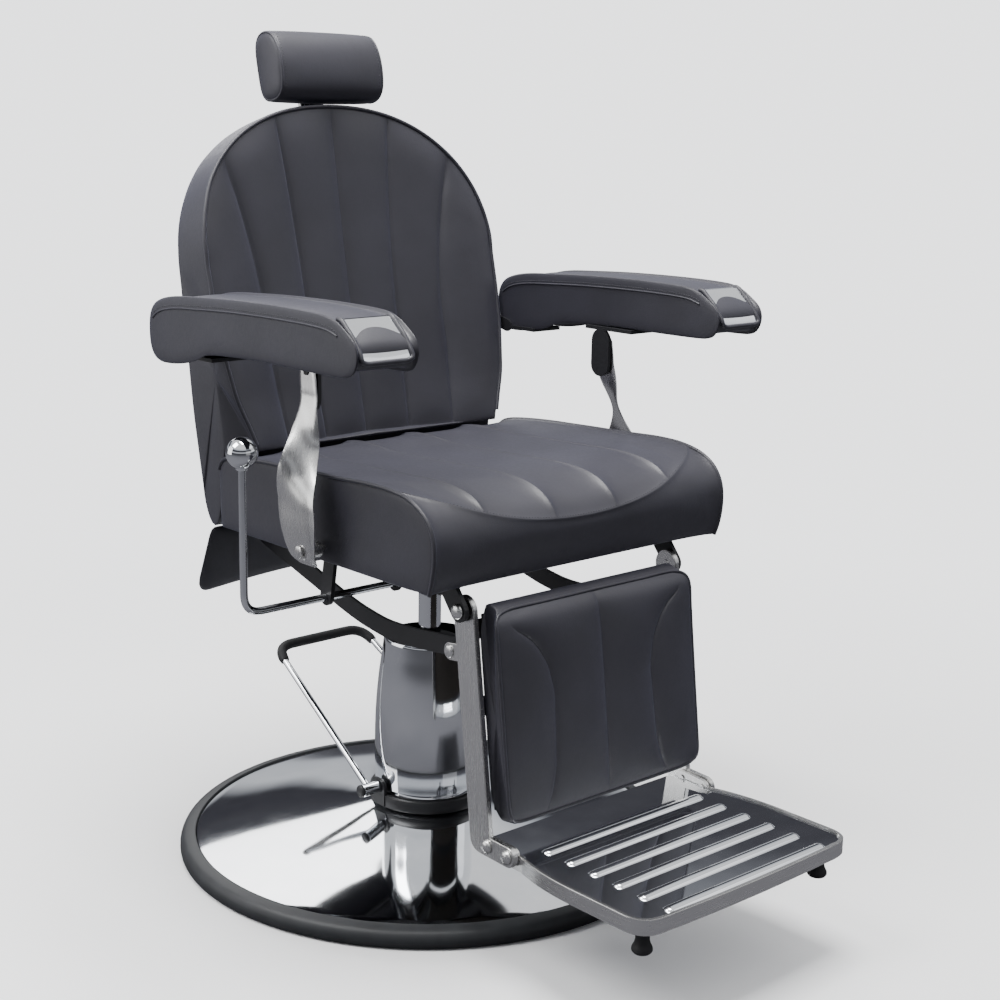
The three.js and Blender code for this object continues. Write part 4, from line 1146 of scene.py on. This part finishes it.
def makeBase():
    r = baseSize["radius"]
    inner = baseSize["inner"]
    rubber = curveThrough([(r - 7, 0.5, 0), (r - 1.5, 3, 0), (r, 8, 0), (r - 1, 16, 0), (r - 5, 22.5, 0),
                           (r - 12, 25.6, 0), (inner + 2, 27, 0), (inner, 26, 0), (inner, 20, 0)], 5)
    profile = [(inner - 8, 0.5), *[(p.x, p.y) for p in rubber], (inner, 8), (inner - 8, 8)]
    finishPiece(lathe("baseRubberRing", profile, rimRubber, 128, 50), "base", "rim_rubber", "base_ring")
    edge = inner - 0.3
    spun = curveThrough([(edge - 5, 25.6, 0), (250, 37.5, 0), (180, 47, 0), (130, 54.5, 0), (100, 60, 0),
                         (84, 63.5, 0), (75, 66, 0)], 8)
    over = [(edge, 20), (edge, 22), (edge - 1.2, 24.6), *[(p.x, p.y) for p in spun]]
    under = [(a - 0.6, b - 2.4) for a, b in reversed(over[3:])]
    profile = [*over, *under, (edge - 2.4, 20)]
    finishPiece(lathe("spunDome", profile, chrome, 160, 40), "base", "chrome_plate", "base_dome")
    foot = columnSize["foot"]
    c = columnSize["collar"]
    profile = [(c - 4, 66.4), (c - 1, 66.4), (c, 67.4), (c, foot - 1.4), (c - 1, foot - 0.4),
               (c - 4, foot - 0.4)]
    finishPiece(lathe("columnFootRing", profile, chrome, 96, 50), "base", "chrome_plate", "column_collar")
    skin = curveThrough([(75.2, foot + 1, 0), (76.3, foot + 18, 0), (76.5, foot + 45, 0),
                         (75.4, foot + 105, 0), (71.6, foot + 154, 0), (66.6, foot + 192, 0),
                         (64, columnSize["top"] - 2, 0)], 8)
    outside = [(74, foot), *[(p.x, p.y) for p in skin], (63, columnSize["top"])]
    inside = [(a - 2.4, b) for a, b in reversed(outside)]
    cover = lathe("columnCover", outside + inside, chrome, 128, 40)
    finishPiece(cover, "base", "chrome_plate", "column_cover")
    rod = [(0, 96), (16, 96), (16, 452.5), (15, 453.8), (0, 453.8)]
    finishPiece(lathe("liftPiston", rod, chrome, 64), "lift", "chrome_plate", "piston_rod")


pedalSize = {"pivot": (10, 96), "x": 98, "reach": 252, "rise": 142, "half": 80, "bend": 30, "rod": 4.6}


def makePedal():
    y, z = pedalSize["pivot"]
    x = pedalSize["x"]
    top = (y + pedalSize["reach"], z + pedalSize["rise"])
    half = pedalSize["half"]
    corners = [(-x, y + 6, z + 3), (-half, *top), (half, *top), (x, y + 6, z + 3)]
    yoke = [tubeAlong("pedalYoke", bentLine(corners, pedalSize["bend"], 12), pedalSize["rod"], chrome, 20)]
    for side in (-1, 1):
        sleeve = [(5.4, 84.5), (8.4, 84.5), (9, 85.1), (9, 110.4), (8.4, 111), (5.4, 111)]
        yoke.append(turnedAlongX("yokeEye", (y, z), sleeve, side, chrome))
    finishPiece(joinPieces("pedalYoke", yoke), "pedal", "chrome_plate", "pedal_lever")
    bends = bentLine(corners, pedalSize["bend"], 12)[1:-1]
    count = len(bends)
    thick = [7.4 if 0 < i < count - 1 else 6.6 for i in range(count)]
    finishPiece(tubeAlong("pedalGrip", bends, thick, gripRubber, 20), "pedal", "black_rubber", "pedal_grip")
    ring = [(70.3, 69), (81.6, 69), (82.4, 69.8), (82.4, 85.2), (81.6, 86), (70.3, 86)]
    bracket = [lathe("pedalBracket", ring, blackSteel, 96, 50)]
    for side in (-1, 1):
        cheek = [(y - 15, 69.4), (y + 15, 69.4), (y + 15, 100), (y + 12, 105), (y + 7, 108), (y - 7, 108),
                 (y - 12, 105), (y - 15, 100)]
        bracket.append(barAlongX("bracketCheek", cheek, side * 79, side * 83.5, blackSteel, 0.6))
        bracket.append(domeBolt("bracketBolt", (y, z), 9, 112.2, 4.6, side, blackSteel))
        shank = [(0, 83), (5, 83), (5, 112.4), (0, 112.4)]
        bracket.append(turnedAlongX("bracketShank", (y, z), shank, side, blackSteel))
    finishPiece(joinPieces("pedalBracket", bracket), "base", "black_steel", "pedal_bracket")


leverSize = {"x": -342, "y": -50, "z": 410, "inner": -94, "knobZ": 614.8, "knob": 20}


def makeLever():
    x = leverSize["x"]
    y = leverSize["y"]
    z = leverSize["z"]
    line = bentLine([(leverSize["inner"], y, z), (x, y, z), (x, y, leverSize["knobZ"] - 17)], 26, 12)
    rod = tubeAlong("reclineRod", line, 5, chrome, 24)
    finishPiece(rod, "recline_lever", "chrome_plate", "recline_lever")
    radius = leverSize["knob"]
    ball = [(radius * math.cos(t), leverSize["knobZ"] + radius * math.sin(t))
            for t in [-math.pi / 2 * 0.8 + math.pi * 0.9 * i / 28 for i in range(29)]]
    neck = [(0, ball[0][1] - 2.2), (7.4, ball[0][1] - 2.2), (8, ball[0][1] - 1.2)]
    knob = lathe("reclineKnob", [*neck, *ball[1:], (0, ball[-1][1])], chrome, 64, 50, (x, y))
    finishPiece(knob, "recline_lever", "chrome_plate", "recline_knob")


def makeStrap(side, name):
    # Flat bar, pressed wider at the foot and set outwards, with its edges rounded over.
    top = strapTop[1] + 10
    bend = curveThrough([(257, top, 0), (257, 690, 0), (258, 672, 0), (268, 632, 0), (280, 598, 0),
                         (286, 568, 0), (286.5, 540, 0), (286, 514, 0), (282, 486, 0), (274, 474, 0)], 6)
    halves = [(474, 18), (478, 23), (484, 26.5), (498, 31), (514, 34.5), (530, 37), (545, 37.3), (562, 35),
              (582, 30), (602, 25), (628, 20.5), (660, 17.5), (690, 16.5), (703, 16), (711, 15),
              (717, 11.5), (top, 5)]
    thickness = 3.5
    columns = 12
    verts = []
    faces = []
    rows = len(bend)
    for i, p in enumerate(bend):
        ahead = bend[min(i + 1, rows - 1)]
        behind = bend[max(i - 1, 0)]
        d = (ahead - behind).normalized()
        out = Vector((-d.y, d.x)) if d.y < 0 else Vector((d.y, -d.x))
        out = out if out.x > 0 else -out
        middle = strapPivot[0] + (p.y - strapPivot[1]) / armRise[1] * armRise[0]
        twist = math.radians(34) * smooth((p.y - 548) / 70) * smooth((670 - p.y) / 55)
        half = between(p.y, halves)
        ring = []
        for k in range(columns + 1):
            share = 2 * k / columns - 1
            eased = 0.9 * max(0.0, (abs(share) * half - half + 2.0) / 2.0) ** 2
            ring.append((share * half, thickness - eased))
        for k in range(columns, -1, -1):
            share = 2 * k / columns - 1
            ring.append((share * half, 0.9 * max(0.0, (abs(share) * half - half + 2.0) / 2.0) ** 2))
        for across, rise in ring:
            aside = p.x + out.x * rise * math.cos(twist) + across * math.sin(twist)
            along = middle + across * math.cos(twist) - rise * math.sin(twist)
            spot = (side * aside, along, p.y + out.y * rise)
            verts.append(Vector(spot) * mm)
    count = 2 * (columns + 1)
    for i in range(rows - 1):
        for k in range(count):
            n = (k + 1) % count
            faces.append((i * count + k, i * count + n, (i + 1) * count + n, (i + 1) * count + k))
    faces.append(tuple(range(count)))
    faces.append(tuple(range((rows - 1) * count, rows * count)))
    strip = makePiece("armStrap" + name, verts, faces, stainless, 40)
    boss = [(6.4, 259), (10.4, 259), (11, 259.6), (11, 286.5), (6.4, 286.5)]
    eye = turnedAlongX("strapBoss", strapPivot, boss, side, stainless)
    cover = domeBolt("strapCap", strapPivot, 8, 289.0, 2.4, side, stainless)
    body = "strap_" + name.lower()
    whole = joinPieces("armStrap" + name, [strip, eye, cover])
    finishPiece(whole, body, "stainless_steel", "arm_strap_" + name.lower())


def makeLink(side, name):
    def slope(y):
        return frontPin[1] + (y - frontPin[0]) / (rearPin[0] - frontPin[0]) * (rearPin[1] - frontPin[1])

    line = [frontPin, (-134, slope(-134) - 28), (-71, slope(-71) - 32), (-17, slope(-17) - 28),
            (28, slope(28) - 21), (90, slope(90) - 12), rearPin]
    chain = [(p.x, p.y) for p in curveThrough([(a, b, 0) for a, b in line], 5)]
    bar = barAlongX("linkBar" + name, roundedOutline(chain, 13), side * 158, side * 163, blackSteel, 0.9)
    body = "link_" + name.lower()
    finishPiece(bar, body, "black_steel", "link_bar_" + name.lower())


railSize = {"outer": 182.5, "thickness": 8, "half": 18.5, "lean": math.radians(7.4), "length": 286}
footZ = 143
railFoot = (legPivot[0] - math.sin(railSize["lean"]) * railSize["length"],
            legPivot[1] - math.cos(railSize["lean"]) * railSize["length"])
footBolts = [(railFoot[0] - 14, footZ + 8), (railFoot[0] - 50, footZ + 6)]


def makeRail(side, name):
    outer = railSize["outer"]
    inner = outer - railSize["thickness"]
    shape = roundedOutline([legPivot, railFoot], railSize["half"], 16)
    bar = [barAlongX("railBar", shape, side * inner, side * outer, stainless, 1.0)]
    ear = roundedOutline([(frontPin[0] - 34, frontPin[1] + 4), frontPin], 11, 12)
    bar.append(barAlongX("railEar", ear, side * (inner + 0.2), side * (outer - 0.2), stainless, 0.8))
    heel = roundedOutline([(railFoot[0], footZ + 8), footBolts[1]], 13, 12)
    bar.append(barAlongX("railHeel", heel, side * (inner + 0.1), side * (outer - 0.1), stainless, 0.8))
    pin = [(0, 155), (5.2, 155), (6, 155.8), (6, 176), (0, 176)]
    bar.append(turnedAlongX("railPin", frontPin, pin, side, stainless))
    bar.append(domeBolt("railPinHead", frontPin, 8, outer - 0.1, 3.0, side, stainless))
    body = "legrest"
    finishPiece(joinPieces("legRail" + name, bar), body, "stainless_steel", "legrest_rail_" + name.lower())
    for i, spot in enumerate(footBolts):
        bolt = domeBolt("footBolt", spot, 8.6, outer + 0.2, 5.2, side, stainless)
        shank = [(0, 167.6), (5, 167.6), (5, outer + 0.6), (0, outer + 0.6)]
        stem = turnedAlongX("shank", spot, shank, side, stainless)
        bolt = joinPieces(f"footBolt{name}{i + 1}", [bolt, stem])
        finishPiece(bolt, body, "stainless_steel", f"footrest_bolt_{name.lower()}_{i + 1}")
    head = domeBolt("legPivotHead", legPivot, 10, outer + 9.0, 5.6, side, stainless)
    shank = [(0, inner - 1), (6, inner - 1), (6, outer + 9.4), (0, outer + 9.4)]
    head = joinPieces("legPivotBolt" + name, [head, turnedAlongX("shank", legPivot, shank, side, stainless)])
    finishPiece(head, "seat", "stainless_steel", "legrest_bolt_" + name.lower())


footSize = {
    "front": -608, "half": 189, "high": 153, "low": 133, "thick": 5, "ribs": 6, "step": 40, "corner": 36,
}


def footLine(inset=0.0):
    # Bent flat bar seen from above: narrow at the rails, wider over the plate, with round front corners.
    half = footSize["half"] - inset
    front = footSize["front"] + 4 + inset
    neck = railSize["outer"] - railSize["thickness"] - 0.3 - inset
    rear = footBolts[1][0] - 16
    corner = footSize["corner"] - inset

    def arc(a, b, c, steps=14):
        a, b, c = Vector(a), Vector(b), Vector(c)
        shares = [i / steps for i in range(1, steps + 1)]
        return [a * (1 - t) ** 2 + b * 2 * t * (1 - t) + c * t * t for t in shares]

    line = [Vector((-neck, footBolts[0][0] + 12)), Vector((-neck, rear))]
    line += arc((-neck, rear), (-half, -430), (-half, -490))
    line += [Vector((-half, front + corner))]
    line += arc((-half, front + corner), (-half, front), (-half + corner, front))
    line += arc((-half + corner, front), (0, front - 8), (half - corner, front))
    return line + [Vector((-p.x, p.y)) for p in reversed(line[:-14])]


def makeFootrest():
    outerLine = footLine()
    innerLine = footLine(footSize["thick"])
    outline = [(p.x, p.y, footSize["low"]) for p in outerLine + innerLine[::-1]]
    bar = plate("footFrame", outline, footSize["high"] - footSize["low"], (0, 0, 1), stainlessLevel, 0.7)
    pieces = [bar]
    for side in (-1, 1):
        lug = roundedOutline([footBolts[0], footBolts[1]], 11, 12)
        pieces.append(barAlongX("footLug", lug, side * 169.4, side * 174.1, stainlessLevel, 0.6))
    finishPiece(joinPieces("footFrame", pieces), "legrest", "stainless_steel", "footrest_frame")
    sheetLine = [p for p in footLine(footSize["thick"] + 0.4) if p.y < footBolts[1][0] - 13.8]
    top = footSize["high"]
    outline = [(p.x, p.y, top - 5) for p in sheetLine]
    pieces = [plate("footSheet", outline, 2.5, (0, 0, 1), chrome, 0.3)]
    apron = [(x, y, top - 4.9) for x, y in ((-165.5, -386), (165.5, -386), (165.5, -313), (-165.5, -313))]
    pieces.append(plate("footApron", apron, 2.3, (0, 0, 1), chrome, 0.3))
    for i in range(footSize["ribs"]):
        y = footSize["front"] + 16 + i * footSize["step"]
        pieces.append(raisedRib("footRib", y, 142, 7.5, top - 2.7, 4.1))
    finishPiece(joinPieces("footPlate", pieces), "legrest", "chrome_plate", "footrest_plate")
    low = footSize["low"]
    for side, name in ((-1, "right"), (1, "left")):
        waist = curveThrough([(11, low - 1.0, 0), (11.4, low - 4, 0), (9, low - 9, 0), (8.4, low - 16, 0),
                              (9.6, low - 22, 0), (12, low - 27, 0), (12.4, low - 31, 0),
                              (10.5, low - 33.8, 0)], 5)
        profile = [(0, top - 5.4), (5, top - 5.4), (5, low - 0.4), (10, low - 0.4)]
        profile += [*[(p.x, p.y) for p in waist], (0, low - 34)]
        spot = (side * (footSize["half"] - 30), footSize["front"] + 34)
        stop = lathe("footStop" + name.capitalize(), profile, gripRubber, 40, 50, spot)
        finishPiece(stop, "legrest", "black_rubber", "footrest_stop_" + name)


def raisedRib(name, y, half, width, base, height):
    # A pressed half-round rib with rounded ends, flared into the sheet at its foot.
    verts = []
    faces = []
    turns = 48
    rings = [(1.25, 0.0), (1.08, 0.10), (0.96, 0.35), (0.82, 0.62), (0.62, 0.83), (0.36, 0.96), (0.1, 1.0)]
    for wide, rise in rings:
        for k in range(turns):
            t = 2 * math.pi * k / turns
            run = half - width
            x = math.copysign(run, math.cos(t)) + math.cos(t) * width * wide
            verts.append(Vector((x, y + math.sin(t) * width * wide, base + rise * height)) * mm)
    for r in range(len(rings) - 1):
        for k in range(turns):
            n = (k + 1) % turns
            faces.append((r * turns + k, r * turns + n, (r + 1) * turns + n, (r + 1) * turns + k))
    faces.append(tuple(range(turns)))
    faces.append(tuple(range((len(rings) - 1) * turns, len(rings) * turns)))
    return makePiece(name, verts, faces, chrome, 60)


def makeHeadPost():
    rows = []
    bar = [fromBack(x, 57.5, s) for x, s in ((-20, 353), (20, 353), (20, 551), (-20, 551))]
    push = fromBack(0, 1, 0) - fromBack(0, 0, 0)
    rows.append(plate("headPost", bar, 8, push, stainless, 1.0))
    corners = [(-62, 497), (-58, 493), (58, 493), (62, 497), (62, 553), (58, 557), (-58, 557), (-62, 553)]
    face = [fromBack(x, 53.3, s) for x, s in corners]
    rows.append(plate("headPlate", face, 5, push, stainless, 0.6))
    finishPiece(joinPieces("headPost", rows), "headrest", "stainless_steel", "headrest_post")


def makeCadFinishes():
    # Hidden hardware keeps the frame's own shape and takes a fuller finish.
    finishes = {
        blackSteel: ["seat_frame", "swivel_plate", "back_crank", "headrest_socket", "lock_cylinder",
                     "pump_gland", "legrest_crossbar_upper", "legrest_crossbar_lower", "arm_tab_right",
                     "arm_tab_left", "arm_hinge_right", "arm_hinge_left"],
        casting: ["base_plate", "pump_cylinder"],
        plywood: ["seat_board", "legrest_board"],
        chrome: ["lock_rod"],
        stainless: ["back_bolt_right", "back_bolt_left", "strap_pin_right", "strap_pin_left",
                    "arm_stud_right", "arm_stud_left"],
    }
    for material, nodes in finishes.items():
        for node in nodes:
            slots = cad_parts[node].material_slots
            for slot in slots:
                slot.material = material
            if not slots:
                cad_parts[node].data.materials.append(material)


makeBase()
makePedal()
makeLever()
makeFootrest()
makeHeadPost()
for side, name in ((-1, "Right"), (1, "Left")):
    makeStrap(side, name)
    makeLink(side, name)
    makeRail(side, name)
makeCadFinishes()
print("metal made")


def makeStudio():
    bpy.ops.mesh.primitive_plane_add(size=40, location=(0, 0, 0))
    floor = bpy.context.object
    floor.name = "studioFloor"
    material, tree, shader, place = startMaterial("paleVinylFloor")
    # Pale sheet vinyl, nearly plain: it fades into the backdrop far out, and throws little light back up
    mottle = addNode(tree, "TexNoise", {"Vector": place, "Scale": 3.0, "Detail": 3}).outputs["Fac"]
    colour = mixBetween(tree, mottle, toLinear("#f8f8f9"), toLinear("#fdfdfd"))
    tree.links.new(colour, shader.inputs["Base Color"])
    shader.inputs["Roughness"].default_value = 0.7
    backdrop = addNode(tree, "Emission", {"Color": toLinear("#f7f8fa"), "Strength": 2.6})
    reach = addNode(tree, "VectorMath", {0: place}, operation="LENGTH").outputs["Value"]
    far = addNode(tree, "MapRange", {"Value": reach, "From Min": 0.3, "From Max": 2.0},
                  interpolation_type="SMOOTHSTEP")
    shown = addNode(tree, "MixShader", {0: far.outputs[0], 1: shader.outputs[0], 2: backdrop.outputs[0]})
    shade = addNode(tree, "BsdfDiffuse", {"Color": toLinear("#58585c")})
    straight = addNode(tree, "LightPath").outputs["Is Camera Ray"]
    both = addNode(tree, "MixShader", {0: straight, 1: shade.outputs[0], 2: shown.outputs[0]})
    tree.links.new(both.outputs[0], tree.nodes["Material Output"].inputs["Surface"])
    floor.data.materials.append(material)
    world = bpy.data.worlds.new("studio")
    bpy.context.scene.world = world
    world.use_nodes = True
    tree = world.node_tree
    ground = tree.nodes["Background"]
    ground.inputs["Color"].default_value = toLinear("#f7f8fa")
    ground.inputs["Strength"].default_value = 2.6
    # What the chrome sees: a bright ceiling, a dark band round the room and soft windows.
    room = addNode(tree, "Background", {"Strength": 1.0})
    way = addNode(tree, "TexCoord").outputs["Generated"]
    height = addNode(tree, "SeparateXYZ", {"Vector": way}).outputs["Z"]
    share = addNode(tree, "MapRange", {"Value": height, "From Min": -1.0}).outputs[0]
    ramp = addNode(tree, "ValToRGB", {"Fac": share})
    stops = [(0.0, "#6d6f74"), (0.49, "#6d6f74"), (0.50, "#3c3c40"), (0.545, "#505056"), (0.56, "#c9ccd2"),
             (0.60, "#d5d8dd"), (0.63, "#3a3a40"), (0.70, "#47474d"), (0.74, "#c4c8cf"), (0.80, "#f4f5f7"),
             (1.0, "#ffffff")]
    ramp.color_ramp.elements[0].position = stops[0][0]
    ramp.color_ramp.elements[0].color = toLinear(stops[0][1])
    ramp.color_ramp.elements[1].position = 1.0
    ramp.color_ramp.elements[1].color = toLinear(stops[-1][1])
    for position, shade in stops[1:-1]:
        element = ramp.color_ramp.elements.new(position)
        element.color = toLinear(shade)
    tree.links.new(ramp.outputs["Color"], room.inputs["Color"])
    straight = addNode(tree, "LightPath").outputs["Is Camera Ray"]
    both = addNode(tree, "MixShader", {0: straight, 1: room.outputs[0], 2: ground.outputs[0]})
    tree.links.new(both.outputs[0], tree.nodes["World Output"].inputs["Surface"])
    for name, spot, size, power in (
        ("keyLight", (-2.2, 0.8, 3.2), 1.6, 100),
        ("fillLight", (3.0, -2.6, 2.4), 2.2, 9),
        ("rimLight", (1.0, 3.2, 2.6), 1.8, 40),
        ("topLight", (0.0, -0.2, 3.4), 1.4, 150),
        ("sideLight", (-3.4, 2.6, 1.3), 3.0, 55),
        ("frontLight", (0.6, -4.4, 0.8), 2.6, 5),
    ):
        data = bpy.data.lights.new(name, "AREA")
        data.size = size
        data.energy = power
        lamp = bpy.data.objects.new(name, data)
        bpy.context.scene.collection.objects.link(lamp)
        lamp.location = spot
        lamp.rotation_euler = (Vector((0, 0, 0.5)) - Vector(spot)).to_track_quat("-Z", "Y").to_euler()


view = {
    "place": (-1.500, -1.801, 1.0325), "heading": 42.134, "pitch": 13.165, "roll": 1.148,
    "focal": 1.736, "shift": 0.0122,
}


def makeCamera():
    heading = math.radians(view["heading"])
    pitch = math.radians(view["pitch"])
    level = math.cos(pitch)
    forward = Vector((math.sin(heading) * level, math.cos(heading) * level, -math.sin(pitch)))
    data = bpy.data.cameras.new("studioCamera")
    data.sensor_width = 36
    data.lens = 36 * view["focal"]
    data.shift_y = view["shift"]
    camera = bpy.data.objects.new("studioCamera", data)
    bpy.context.scene.collection.objects.link(camera)
    turn = forward.to_track_quat("-Z", "Y").to_matrix() @ Matrix.Rotation(math.radians(view["roll"]), 3, "Z")
    camera.matrix_world = Matrix.Translation(Vector(view["place"])) @ turn.to_4x4()
    bpy.context.scene.camera = camera


makeStudio()
makeCamera()
print("studio made")
